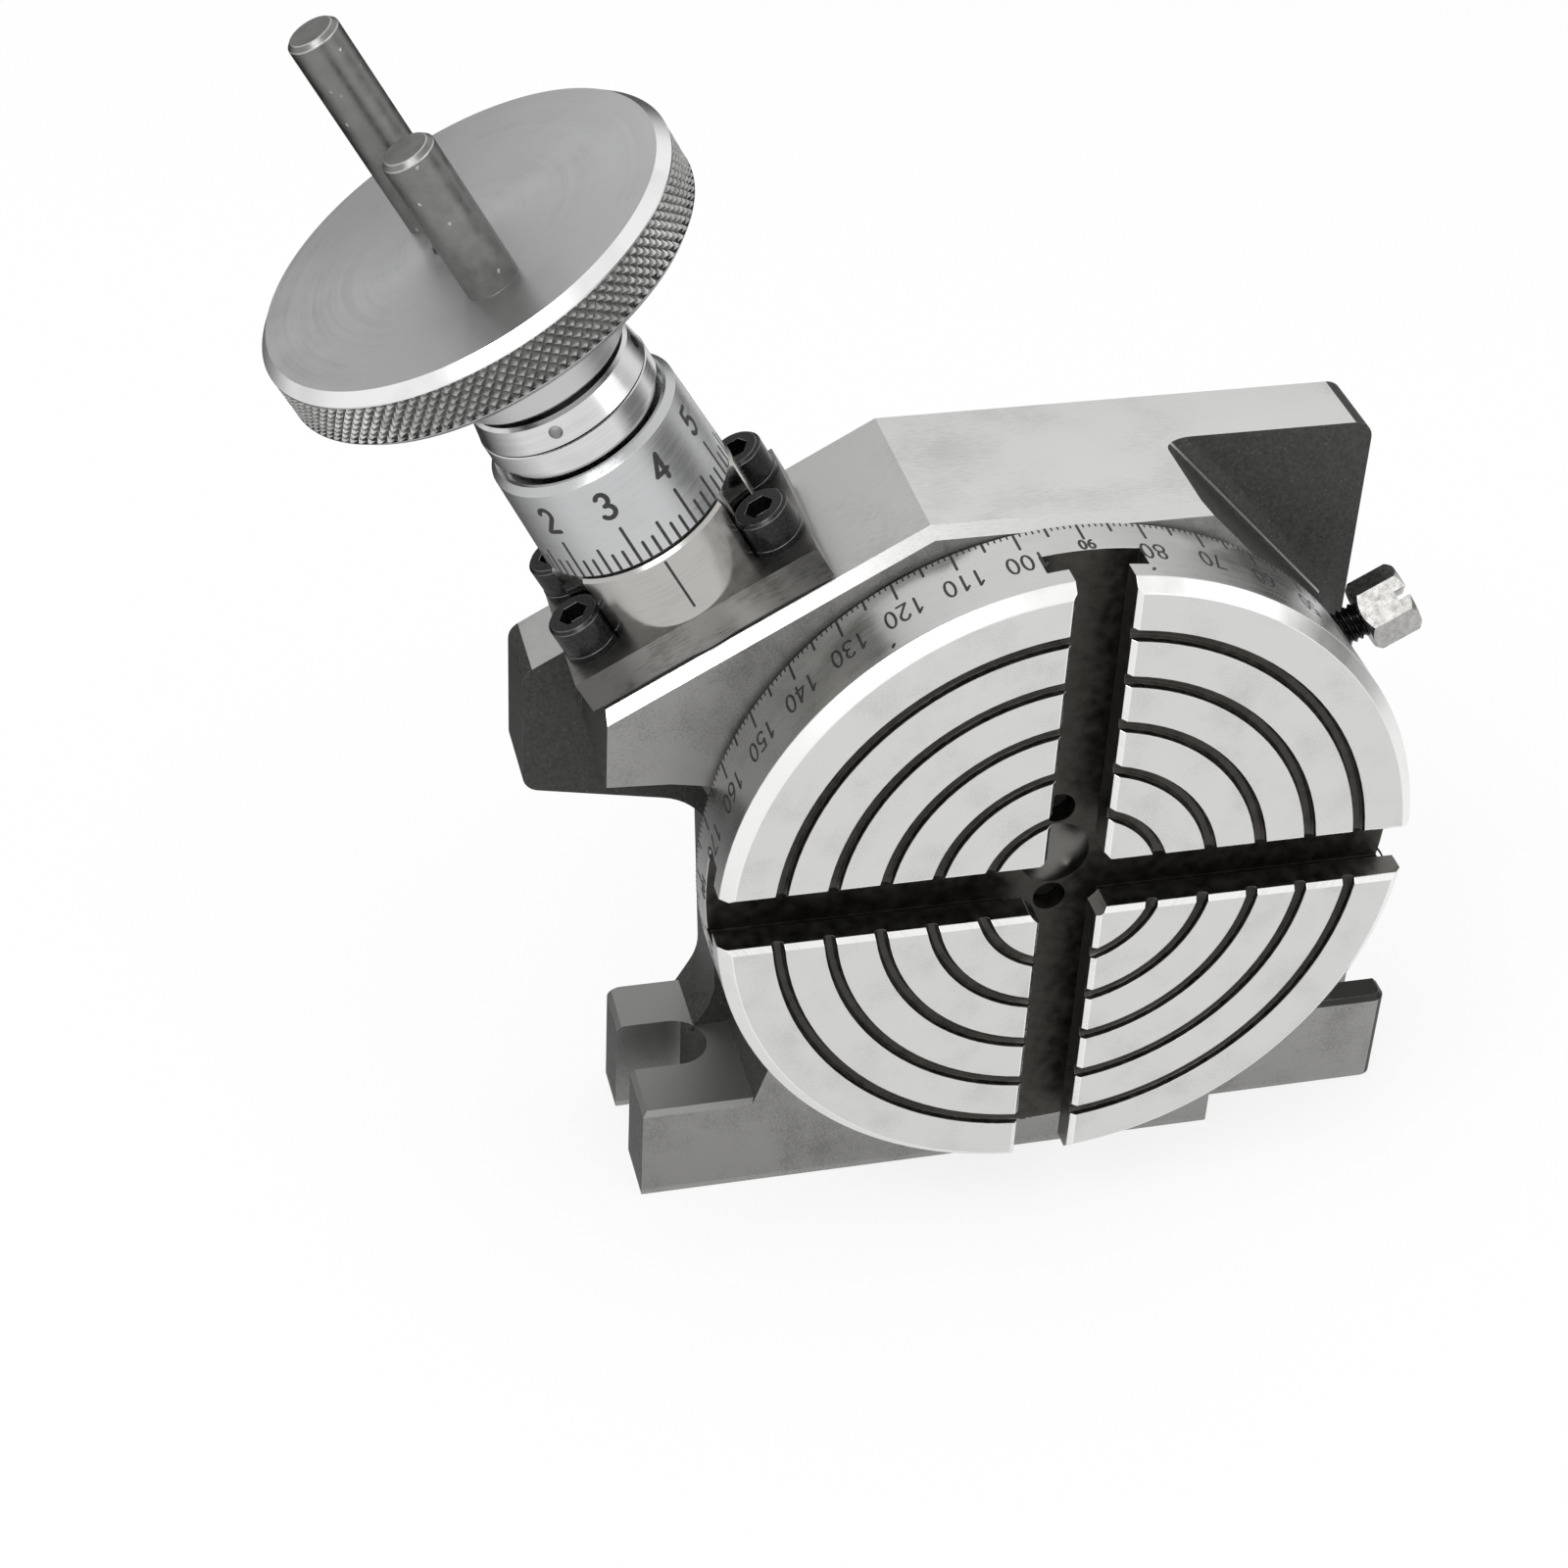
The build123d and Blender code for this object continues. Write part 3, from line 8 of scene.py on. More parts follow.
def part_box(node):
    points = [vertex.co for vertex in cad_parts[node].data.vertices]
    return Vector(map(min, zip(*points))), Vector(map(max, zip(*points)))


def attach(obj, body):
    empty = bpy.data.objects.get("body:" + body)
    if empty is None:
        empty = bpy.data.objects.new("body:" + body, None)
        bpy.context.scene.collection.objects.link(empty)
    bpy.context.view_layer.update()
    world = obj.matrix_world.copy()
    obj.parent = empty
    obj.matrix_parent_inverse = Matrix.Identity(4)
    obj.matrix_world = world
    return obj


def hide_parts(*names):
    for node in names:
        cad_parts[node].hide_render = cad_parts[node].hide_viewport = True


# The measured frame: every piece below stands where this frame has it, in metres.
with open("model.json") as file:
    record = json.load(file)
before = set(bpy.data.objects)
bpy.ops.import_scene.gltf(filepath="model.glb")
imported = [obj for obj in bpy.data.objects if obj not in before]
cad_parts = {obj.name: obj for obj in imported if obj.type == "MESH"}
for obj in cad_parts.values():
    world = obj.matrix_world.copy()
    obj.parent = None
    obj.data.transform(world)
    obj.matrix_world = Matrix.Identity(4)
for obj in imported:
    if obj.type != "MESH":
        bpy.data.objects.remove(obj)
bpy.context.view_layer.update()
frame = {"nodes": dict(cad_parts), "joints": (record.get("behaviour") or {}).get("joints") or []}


# The body: one grey iron casting, upright web, rear plate and foot. Its front, back, top, slanted seat
# and base are machined and left bare; the waist and the other sides are as cast and painted dark.
MM = 0.001
CASTING_EDGE = 0.35 * MM
FOOT_TOP = 18 * MM
SEAT_LOWEST = 50 * MM
# The foot's top darkens towards the right: where the darkening starts and where it is full, in millimetres
# to the right of the table's axis, and how far the start wavers.
FOOT_DARK_START = 10.0
FOOT_DARK_FULL = 58.0
FOOT_DARK_WAVER = 14.0
nodes = frame["nodes"]
casting_low, casting_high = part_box("body_casting")


def joint(name):
    """What the frame says of one joint."""
    return next(entry for entry in frame["joints"] if entry["name"] == name)


table_origin = Vector(joint("table_spin")["pos_m"])
table_axis_point = Vector((0, 0, table_origin.z))
worm_direction = Vector(joint("worm_spin")["axis"]).normalized()
worm_point = Vector(joint("worm_spin")["pos_m"])
worm_origin = worm_point + worm_direction * (table_axis_point - worm_point).dot(worm_direction)


def add(material, kind, inputs=None, **settings):
    """One more node in a finish, with its settings, values and links."""
    made = material.node_tree.nodes.new("ShaderNode" + kind)
    for name, value in settings.items():
        setattr(made, name, value)
    for name, value in (inputs or {}).items():
        if isinstance(value, bpy.types.NodeSocket):
            material.node_tree.links.new(value, made.inputs[name])
        else:
            made.inputs[name].default_value = value
    return made


def new_finish(name, colour, metallic, roughness):
    """A finish with its shader's plain values; marks and wear are added to it."""
    material = bpy.data.materials.new(name)
    material.use_nodes = True
    shader = material.node_tree.nodes["Principled BSDF"]
    shader.inputs["Base Color"].default_value = (*colour, 1)
    shader.inputs["Metallic"].default_value = metallic
    shader.inputs["Roughness"].default_value = roughness
    return material


def to_shader(material, name, socket):
    """Leads a socket to the finish's shader."""
    material.node_tree.links.new(socket, material.node_tree.nodes["Principled BSDF"].inputs[name])


def in_millimetres(material, stretch=(1, 1, 1)):
    """Places on the piece in millimetres, stretched along its own axes."""
    coordinates = add(material, "TexCoord")
    scale = [1000 * value for value in stretch]
    return add(material, "Mapping", {"Vector": coordinates.outputs["Object"], "Scale": scale}).outputs[0]


def grain(material, vector, scale, detail=3.0, roughness=0.55):
    """A noise of about `scale` grains to the millimetre."""
    inputs = {"Vector": vector, "Scale": scale, "Detail": detail, "Roughness": roughness}
    return add(material, "TexNoise", inputs).outputs[0]


def between(material, value, low, high, start=0.3, end=0.7):
    """A noise brought to a range of values."""
    inputs = {"Value": value, "From Min": start, "From Max": end, "To Min": low, "To Max": high}
    return add(material, "MapRange", inputs).outputs[0]


def shades(material, value, dark, light, start=0.3, end=0.7):
    """A noise brought to a range of colours."""
    ramp = add(material, "ValToRGB", {"Fac": value})
    ramp.color_ramp.elements[0].position = start
    ramp.color_ramp.elements[0].color = (*dark, 1)
    ramp.color_ramp.elements[1].position = end
    ramp.color_ramp.elements[1].color = (*light, 1)
    return ramp.outputs[0]


def together(material, one, other):
    """Two noises added."""
    return add(material, "Math", {0: one, 1: other}, operation="ADD").outputs[0]


def colour_by(material, value, dark, light, start=0.3, end=0.7):
    """Lets a noise lead the finish's colour from dark to light."""
    to_shader(material, "Base Color", shades(material, value, dark, light, start, end))


def roughness_by(material, value, low, high, start=0.3, end=0.7):
    """Lets a noise lead the finish's roughness."""
    to_shader(material, "Roughness", between(material, value, low, high, start, end))


def relief(material, heights):
    """Bumps of the given depths in millimetres, one over the other, to the shader."""
    normal = None
    for height, depth in heights:
        inputs = {"Height": height, "Distance": depth * MM, "Strength": 1.0}
        if normal:
            inputs["Normal"] = normal
        normal = add(material, "Bump", inputs).outputs[0]
    to_shader(material, "Normal", normal)


def milled_iron():
    """Bare machined iron: fine-grained, grey, faintly mottled."""
    material = new_finish("milled_iron", (0.40, 0.40, 0.39), 1.0, 0.42)
    place = in_millimetres(material)
    fine = grain(material, place, 5.0, 4.0)
    broad = grain(material, place, 0.09, 3.0)
    mottle = together(material, fine, broad)
    colour_by(material, mottle, (0.19, 0.188, 0.18), (0.31, 0.307, 0.297), 0.7, 1.3)
    roughness_by(material, mottle, 0.36, 0.50, 0.7, 1.3)
    relief(material, [(fine, 0.004)])
    return material


def milled_top(name, dark, light):
    """The brighter ground top and slanted seat, with marks along the machine. Each face gets its own
    shades: the top is painted lighter and the seat darker, as the light falls on them.
    """
    material = new_finish(name, light, 1.0, 0.36)
    place = in_millimetres(material, (0.25, 3.0, 0.25))
    marks = grain(material, place, 3.0, 4.0)
    broad = grain(material, in_millimetres(material), 0.07, 2.0)
    mottle = together(material, marks, broad)
    colour_by(material, mottle, dark, light, 0.7, 1.3)
    roughness_by(material, mottle, 0.30, 0.46, 0.7, 1.3)
    relief(material, [(marks, 0.003)])
    return material


def bright_chamfer():
    """The freshly cut chamfer along the casting's front edges."""
    material = new_finish("bright_chamfer", (0.60, 0.60, 0.59), 1.0, 0.34)
    marks = grain(material, in_millimetres(material, (0.3, 2.0, 2.0)), 3.0, 3.0)
    roughness_by(material, marks, 0.24, 0.40)
    relief(material, [(marks, 0.004)])
    return material


def oily_foot():
    """The foot's milled top, bright on the left and darker towards the right."""
    material = new_finish("oily_foot", (0.30, 0.30, 0.29), 0.9, 0.42)
    place = in_millimetres(material)
    side = add(material, "SeparateXYZ", {0: place}).outputs[0]
    cloud = between(material, grain(material, place, 0.15, 4.0), -FOOT_DARK_WAVER, FOOT_DARK_WAVER)
    along = together(material, side, cloud)
    share = between(material, along, 0.0, 1.0, FOOT_DARK_START, FOOT_DARK_FULL)
    colour_by(material, share, (0.30, 0.298, 0.29), (0.035, 0.034, 0.031), 0.0, 1.0)
    fine = grain(material, place, 5.0, 4.0)
    roughness_by(material, fine, 0.34, 0.50)
    relief(material, [(fine, 0.004)])
    return material


def worn_edge():
    """Edges of the cast skin rubbed bright by handling."""
    material = new_finish("worn_edge", (0.30, 0.30, 0.29), 0.9, 0.38)
    wear = grain(material, in_millimetres(material), 0.5, 5.0, 0.7)
    colour_by(material, wear, (0.05, 0.05, 0.048), (0.46, 0.455, 0.44), 0.36, 0.56)
    roughness_by(material, wear, 0.55, 0.3)
    relief(material, [(wear, 0.03)])
    return material


def spotted(material, share, colour, spot):
    """Lays spots of another colour over the finish's colour."""
    inputs = {0: share, 6: colour, 7: (*spot, 1)}
    to_shader(material, "Base Color", add(material, "Mix", inputs, data_type="RGBA").outputs[2])


def rough_cast():
    """As cast and painted dark: sandy skin with a few bright grains."""
    material = new_finish("rough_cast_iron", (0.045, 0.045, 0.044), 0.35, 0.55)
    place = in_millimetres(material)
    sand = grain(material, place, 1.6, 5.0, 0.65)
    lumps = grain(material, place, 0.28, 3.0)
    specks = add(material, "TexVoronoi", {"Vector": place, "Scale": 0.9}).outputs[0]
    speck = between(material, specks, 1.0, 0.0, 0.05, 0.12)
    colour = shades(material, sand, (0.018, 0.018, 0.017), (0.062, 0.062, 0.059))
    spotted(material, speck, colour, (0.16, 0.16, 0.15))
    roughness_by(material, sand, 0.42, 0.68)
    relief(material, [(lumps, 0.25), (sand, 0.09)])
    return material


# Corners nearer than the weld are one, faces within the flat angle are one, and edges over the sharp
# angle stay sharp or are rounded in so many steps.
WELD = 0.001 * MM
FLAT_ANGLE = math.radians(0.4)
SHARP_ANGLE = math.radians(28)
EDGE_STEPS = 2


def own_copy(name, node, place, dissolve=True):
    """The measured node's mesh as a piece of its own, in the coordinates of a place."""
    mesh = nodes[node].data.copy()
    mesh.name = name
    mesh.materials.clear()
    mesh.transform(place.inverted())
    shape = bmesh.new()
    shape.from_mesh(mesh)
    bmesh.ops.remove_doubles(shape, verts=shape.verts, dist=WELD)
    if dissolve:
        bmesh.ops.dissolve_limit(shape, angle_limit=FLAT_ANGLE, verts=shape.verts, edges=shape.edges)
    shape.to_mesh(mesh)
    shape.free()
    if "custom_normal" in mesh.attributes:
        mesh.attributes.remove(mesh.attributes["custom_normal"])
    piece = bpy.data.objects.new(name, mesh)
    bpy.context.scene.collection.objects.link(piece)
    piece.matrix_world = place
    mesh.shade_smooth()
    mesh.set_sharp_from_angle(angle=SHARP_ANGLE)
    return piece


def soften_edges(piece, width, finish=None):
    """Breaks every sharp edge of a piece by a small round, with a finish of its own if given."""
    bevel = piece.modifiers.new("edges", "BEVEL")
    bevel.width = width
    bevel.segments = EDGE_STEPS
    bevel.limit_method = "ANGLE"
    bevel.angle_limit = SHARP_ANGLE
    bevel.harden_normals = True
    bevel.use_clamp_overlap = True
    bevel.miter_outer = "MITER_ARC"
    if finish:
        piece.data.materials.append(finish)
        bevel.material = len(piece.data.materials) - 1


def settle(piece, body, *replaced):
    """Fixes a piece to its body, in the stead of the frame's nodes."""
    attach(piece, body)
    if replaced:
        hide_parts(*replaced)


def face_finishes(piece, finishes, choose):
    """Gives each face of a piece one of several finishes, by its middle and its direction."""
    for material in finishes:
        piece.data.materials.append(material)
    turn = piece.matrix_world.to_3x3()
    for face in piece.data.polygons:
        middle = piece.matrix_world @ face.center
        face.material_index = choose(middle, turn @ face.normal)


# Cosines from which a face counts as straight, nearly straight, or leaning as the foot's top and the
# front's chamfer do, and how far a face may stand from a plane to lie in it.
STRAIGHT = 0.999
NEARLY_STRAIGHT = 0.9
TOP_LEAN = 0.6
CHAMFER_LEAN = 0.5
SAME_PLANE = 0.05 * MM
MILLED, GROUND, CHAMFER, AS_CAST, SEAT, FOOT = range(6)


def casting_face(middle, direction):
    """Which finish a face of the casting has, by its place and the way it looks."""
    along_worm = (middle - worm_origin).dot(worm_direction)
    if direction.y < -STRAIGHT and middle.y < casting_low.y + SAME_PLANE:
        return MILLED
    if direction.z > STRAIGHT and middle.z > casting_high.z - SAME_PLANE:
        return GROUND
    if direction.dot(worm_direction) > STRAIGHT and along_worm > SEAT_LOWEST:
        return SEAT
    if direction.y < -CHAMFER_LEAN and direction.z > CHAMFER_LEAN and middle.z > table_origin.z:
        return CHAMFER
    on_foot = middle.z < FOOT_TOP
    if on_foot and direction.z > TOP_LEAN:
        return FOOT
    if on_foot and min(direction.y, direction.z) < -NEARLY_STRAIGHT:
        return MILLED
    if direction.y > STRAIGHT and middle.y > casting_high.y - SAME_PLANE:
        return MILLED
    return AS_CAST


casting = own_copy("casting", "body_casting", Matrix.Identity(4))
# One ground finish in two copies: painted light on the top and painted shade on the seat, for how the light
# falls on each.
ground_top_painted_light = milled_top("ground_top_painted_light", (0.62, 0.62, 0.61), (0.78, 0.78, 0.77))
ground_seat_painted_shade = milled_top("ground_seat_painted_shade", (0.46, 0.457, 0.445), (0.62, 0.617, 0.60))
casting_finishes = [milled_iron(), ground_top_painted_light, bright_chamfer(), rough_cast(), ground_seat_painted_shade, oily_foot()]
face_finishes(casting, casting_finishes, casting_face)
soften_edges(casting, CASTING_EDGE, finish=worn_edge())
settle(casting, "base", "body_casting")


# The table: a ground steel disc with T slots in a cross and concentric grooves. Its rim and face are
# turned and ground bright; the grooves and slots keep the dark of the cutter and old oil.
TABLE_EDGE = 0.15 * MM
FACE_CHAMFER = 2.2 * MM
REAR_CHAMFER = 0.7 * MM
RIM_SKIN = 0.4 * MM
SLOT_HALF = 4.5 * MM
SLOT_NECK_DEPTH = 5.2 * MM
SLOT_BEVEL_DEPTH = 0.8 * MM
SLOT_BEVEL_REACH = 1.0 * MM
SLOT_WALL_ROOM = 0.2 * MM
GROOVE_DEPTH = 1.5 * MM
CENTRE_ROUND = 8.2 * MM
table_low, table_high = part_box("table_disc")
TABLE_RADIUS = (table_high.x - table_low.x) / 2
TABLE_THICKNESS = table_high.y - table_low.y


def place_at(origin, x_axis, z_axis):
    """A place with its Z along one direction and its X along another."""
    y_axis = z_axis.cross(x_axis)
    turned = Matrix((x_axis, y_axis, z_axis)).transposed().to_4x4()
    return Matrix.Translation(origin) @ turned


# The table's place has its origin in the middle of the working face, and Z forward out of it.
table_place = place_at(table_origin, Vector((1, 0, 0)), Vector((0, -1, 0)))


def keep_rounds(piece):
    """Makes the softened edges part of the piece's mesh."""
    graph = bpy.context.evaluated_depsgraph_get()
    mesh = bpy.data.meshes.new_from_object(piece.evaluated_get(graph))
    piece.modifiers.clear()
    piece.data = mesh


# A piece this near its place's axis, or this wide, is turned about that axis. Faces at the axis, flat
# ones and those that don't look straight out or in are no round walls.
ON_MIDDLE = 0.5 * MM
WIDE_PIECE = 20 * MM
AT_AXIS = 0.2 * MM
FLAT_SIDE = 0.02
ROUND_SIDE = 0.985


def shade_turned(piece):
    """Shades round walls as true rounds about the axis that the piece was turned on, and flats as flat."""
    mesh = piece.data
    xs = [vertex.co.x for vertex in mesh.vertices]
    ys = [vertex.co.y for vertex in mesh.vertices]
    off_centre = max(abs(min(xs) + max(xs)), abs(min(ys) + max(ys))) / 2
    middle = Vector(((min(xs) + max(xs)) / 2, (min(ys) + max(ys)) / 2))
    if off_centre < ON_MIDDLE or max(xs) > WIDE_PIECE:
        middle = Vector((0, 0))
    normals = [corner.vector.copy() for corner in mesh.corner_normals]
    for face in mesh.polygons:
        side = Vector((face.normal.x, face.normal.y))
        outward = Vector((face.center.x, face.center.y)) - middle
        if side.length < FLAT_SIDE:
            for corner in face.loop_indices:
                normals[corner] = face.normal.copy()
            continue
        if outward.length < AT_AXIS:
            continue
        toward = side.normalized().dot(outward.normalized())
        if abs(toward) < ROUND_SIDE:
            continue
        for corner in face.loop_indices:
            point = mesh.vertices[mesh.loops[corner].vertex_index].co
            ray = (Vector((point.x, point.y)) - middle).normalized() * math.copysign(side.length, toward)
            normals[corner] = Vector((ray.x, ray.y, face.normal.z))
    mesh.normals_split_custom_set(normals)


def round_marks(material, scale):
    """Marks that run round the piece's own Z axis, as a lathe leaves them, and change slowly round it."""
    change_round = 0.8
    place = in_millimetres(material)
    parts = add(material, "SeparateXYZ", {0: place})
    flat = add(material, "CombineXYZ", {0: parts.outputs[0], 1: parts.outputs[1]}).outputs[0]
    radius = add(material, "VectorMath", {0: flat}, operation="LENGTH").outputs[1]
    outward = add(material, "VectorMath", {0: flat}, operation="NORMALIZE").outputs[0]
    swing = add(material, "VectorMath", {0: outward, 3: change_round}, operation="SCALE").outputs[0]
    sides = add(material, "SeparateXYZ", {0: swing})
    along = add(material, "Math", {0: radius, 1: parts.outputs[2]}, operation="ADD").outputs[0]
    step = add(material, "Math", {0: along, 1: scale}, operation="MULTIPLY").outputs[0]
    combined = {0: sides.outputs[0], 1: sides.outputs[1], 2: step}
    return add(material, "CombineXYZ", combined).outputs[0]


def radial_tangent(material):
    """Lets the shader stretch its highlights across marks that run round the Z axis."""
    to_shader(material, "Tangent", add(material, "Tangent", direction_type="RADIAL", axis="Z").outputs[0])


def turned_steel(name, colour, roughness, stretch, marks=2.0, depth=0.002, contrast=0.9):
    """Bright steel with fine marks round its axis and highlights stretched across them."""
    material = new_finish(name, colour, 1.0, roughness)
    rings = grain(material, round_marks(material, marks), 1.0, 4.0, 0.6)
    cloud = grain(material, in_millimetres(material), 0.12, 3.0)
    both = together(material, rings, cloud)
    dark = [value * contrast for value in colour]
    colour_by(material, both, dark, colour, 0.75, 1.25)
    roughness_by(material, both, roughness - 0.05, roughness + 0.08, 0.7, 1.3)
    material.node_tree.nodes["Principled BSDF"].inputs["Anisotropic"].default_value = stretch
    radial_tangent(material)
    relief(material, [(rings, depth)])
    return material


def ground_face():
    """The table's working face: pale, ground, nearly without marks."""
    material = new_finish("ground_face", (0.80, 0.80, 0.79), 1.0, 0.40)
    place = in_millimetres(material)
    fine = grain(material, place, 4.0, 4.0)
    cloud = grain(material, place, 0.11, 3.0)
    both = together(material, fine, cloud)
    colour_by(material, both, (0.53, 0.528, 0.52), (0.65, 0.648, 0.64), 0.7, 1.3)
    roughness_by(material, both, 0.36, 0.48, 0.7, 1.3)
    relief(material, [(fine, 0.002)])
    return material


def oiled_cut():
    """The floor and sides of the slots and grooves: dark brown-grey, oily."""
    material = new_finish("oiled_cut", (0.050, 0.046, 0.040), 0.8, 0.42)
    place = in_millimetres(material)
    streaks = grain(material, place, 0.5, 4.0)
    colour_by(material, streaks, (0.032, 0.029, 0.025), (0.072, 0.067, 0.059))
    roughness_by(material, streaks, 0.30, 0.55)
    relief(material, [(streaks, 0.008)])
    return material


def groove_walls():
    """The turned sides of the grooves, brown-grey, a little lighter than their floor."""
    material = new_finish("groove_walls", (0.16, 0.15, 0.135), 1.0, 0.34)
    place = in_millimetres(material)
    streaks = grain(material, place, 0.8, 4.0)
    colour_by(material, streaks, (0.10, 0.094, 0.084), (0.22, 0.21, 0.19))
    roughness_by(material, streaks, 0.26, 0.44)
    relief(material, [(streaks, 0.004)])
    return material


def slot_walls():
    """The milled sides of the T slots: dark steel, marked along the slot."""
    material = new_finish("slot_walls", (0.17, 0.165, 0.155), 1.0, 0.33)
    place = in_millimetres(material)
    streaks = grain(material, place, 0.5, 4.0)
    colour_by(material, streaks, (0.11, 0.106, 0.098), (0.20, 0.195, 0.183))
    roughness_by(material, streaks, 0.26, 0.44)
    relief(material, [(streaks, 0.004)])
    return material


# How much a face looks forward: a slot's or groove's upright wall, a bevel, a chamfer, a steep side.
UPRIGHT = 0.1
BEVEL_LEAN = 0.15
FACE_CHAMFER_LEAN = 0.3
STEEP = 0.6
FACE, RIM, OILED, BRIGHT, SLOT_WALL, GROOVE_WALL = range(6)


def table_face(middle, direction):
    """Which finish a face of the table has, by its place and the way it looks."""
    local = table_place.inverted() @ middle
    radius = Vector((local.x, local.y)).length
    across = min(abs(local.x), abs(local.y))
    forward = -direction.y
    in_neck = abs(forward) < UPRIGHT and local.z > -SLOT_NECK_DEPTH
    at_corner = radius > TABLE_RADIUS - FACE_CHAMFER and local.z > -FACE_CHAMFER
    if forward > STRAIGHT and local.z > -SAME_PLANE:
        return FACE
    if at_corner and abs(forward) > FACE_CHAMFER_LEAN:
        return BRIGHT
    if radius > TABLE_RADIUS - RIM_SKIN or local.z < -TABLE_THICKNESS + REAR_CHAMFER:
        return RIM
    if forward > BEVEL_LEAN and local.z > -SLOT_BEVEL_DEPTH:
        return BRIGHT if across < SLOT_HALF + SLOT_BEVEL_REACH else FACE
    if in_neck and radius < CENTRE_ROUND:
        return BRIGHT
    if in_neck and abs(across - SLOT_HALF) < SLOT_WALL_ROOM:
        return SLOT_WALL
    if local.z > -GROOVE_DEPTH + SAME_PLANE and abs(forward) < STEEP:
        return GROOVE_WALL
    return OILED


table_disc = own_copy("table", "table_disc", table_place)
table_rim = turned_steel("turned_rim", (0.62, 0.62, 0.61), roughness=0.27, stretch=0.55)
table_chamfer = turned_steel("cut_chamfer", (0.86, 0.86, 0.85), roughness=0.24, stretch=0.4)
table_finishes = [ground_face(), table_rim, oiled_cut(), table_chamfer, slot_walls(), groove_walls()]
soften_edges(table_disc, TABLE_EDGE)
keep_rounds(table_disc)
face_finishes(table_disc, table_finishes, table_face)
shade_turned(table_disc)
settle(table_disc, "table", "table_disc")


# The degree scale round the table's rim: lines and figures rolled into the steel and filled black,
# a long line and a figure every ten degrees, a shorter line every five and a fine one every degree.
RIM_LINE_START = 0.75 * MM
RIM_LINE_WIDTH = 0.42 * MM
RIM_FINE_WIDTH = 0.26 * MM
RIM_LONG = 4.5 * MM
RIM_MIDDLE = 2.7 * MM
RIM_SHORT = 1.3 * MM
RIM_FIGURE_HEIGHT = 3.7 * MM
RIM_FIGURE_FOOT = 6.3 * MM
RIM_FIGURE_NARROW = 0.72
SMALL_FIGURE_HEIGHT = 2.2 * MM
SMALL_FIGURE_FOOT = 4.9 * MM
FILL_DEPTH = 0.05 * MM
FILL_RISE = 0.012 * MM
STROKE_STEP = 0.35 * MM
STROKE_END_STEPS = 3
STROKE_TIP = 0.02
FIGURE_WIDTH = 0.58
FIGURE_STEP = 0.82


def bow(centre_x, centre_y, width, height, start, end, steps=14):
    """Points on a bow of a figure, from one angle to another."""
    points = []
    for step in range(steps + 1):
        angle = math.radians(start + (end - start) * step / steps)
        points.append((centre_x + width * math.cos(angle), centre_y + height * math.sin(angle)))
    return points


# Each figure stands in a field one high, with straight strokes by their ends and round ones by bows.
FIGURES = {
    "0": [bow(0.29, 0.5, 0.27, 0.5, 0, 360, 24)],
    "1": [[(0.10, 0.78), (0.32, 1.0)], [(0.32, 1.0), (0.32, 0.0)]],
    "2": [bow(0.28, 0.73, 0.26, 0.27, 165, -42), [(0.473, 0.549), (0.02, 0.0)], [(0.02, 0.0), (0.56, 0.0)]],
    "3": [bow(0.26, 0.75, 0.24, 0.25, 150, -90), bow(0.26, 0.25, 0.29, 0.25, 90, -150)],
    "4": [[(0.44, 0.0), (0.44, 1.0)], [(0.44, 1.0), (0.0, 0.28)], [(0.0, 0.28), (0.58, 0.28)]],
    "5": [[(0.52, 1.0), (0.10, 1.0)], [(0.10, 1.0), (0.06, 0.54)], bow(0.27, 0.31, 0.28, 0.31, 130, -150)],
    "6": [bow(0.29, 0.30, 0.27, 0.30, 0, 360, 20), bow(0.60, 0.34, 0.58, 0.66, 185, 105)],
    "7": [[(0.02, 1.0), (0.56, 1.0)], [(0.56, 1.0), (0.20, 0.0)]],
    "8": [bow(0.29, 0.75, 0.22, 0.25, 0, 360, 20), bow(0.29, 0.26, 0.28, 0.26, 0, 360, 20)],
    "9": [bow(0.29, 0.70, 0.27, 0.30, 0, 360, 20), bow(-0.02, 0.66, 0.58, 0.66, 5, -75)],
}


def figure_strokes(text, height, narrow):
    """The strokes of a number, centred on its own middle with its foot at zero."""
    length = (FIGURE_STEP * (len(text) - 1) + FIGURE_WIDTH) * height * narrow
    strokes = []
    for place, figure in enumerate(text):
        start = place * FIGURE_STEP * height * narrow - length / 2
        for stroke in FIGURES[figure]:
            strokes.append([(start + x * height * narrow, y * height) for x, y in stroke])
    return strokes


def stroke_ribs(stroke, half_width):
    """Middles, directions and half widths of the ribs along one stroke, with rounded ends."""
    points = [Vector(stroke[0])]
    for goal in stroke[1:]:
        start = points[-1].copy()
        parts = max(1, math.ceil((Vector(goal) - start).length / STROKE_STEP))
        points += [start.lerp(Vector(goal), (part + 1) / parts) for part in range(parts)]
    ribs = []
    first = (points[1] - points[0]).normalized()
    last = (points[-1] - points[-2]).normalized()
    for step in range(STROKE_END_STEPS):
        angle = math.pi / 2 * step / STROKE_END_STEPS
        ribs.append((points[0] - first * half_width * math.cos(angle), first, half_width * math.sin(angle)))
    for place, point in enumerate(points):
        before = points[max(place - 1, 0)]
        after = points[min(place + 1, len(points) - 1)]
        ribs.append((point, (after - before).normalized(), half_width))
    for step in range(STROKE_END_STEPS - 1, -1, -1):
        angle = math.pi / 2 * step / STROKE_END_STEPS
        ribs.append((points[-1] + last * half_width * math.cos(angle), last, half_width * math.sin(angle)))
    return ribs


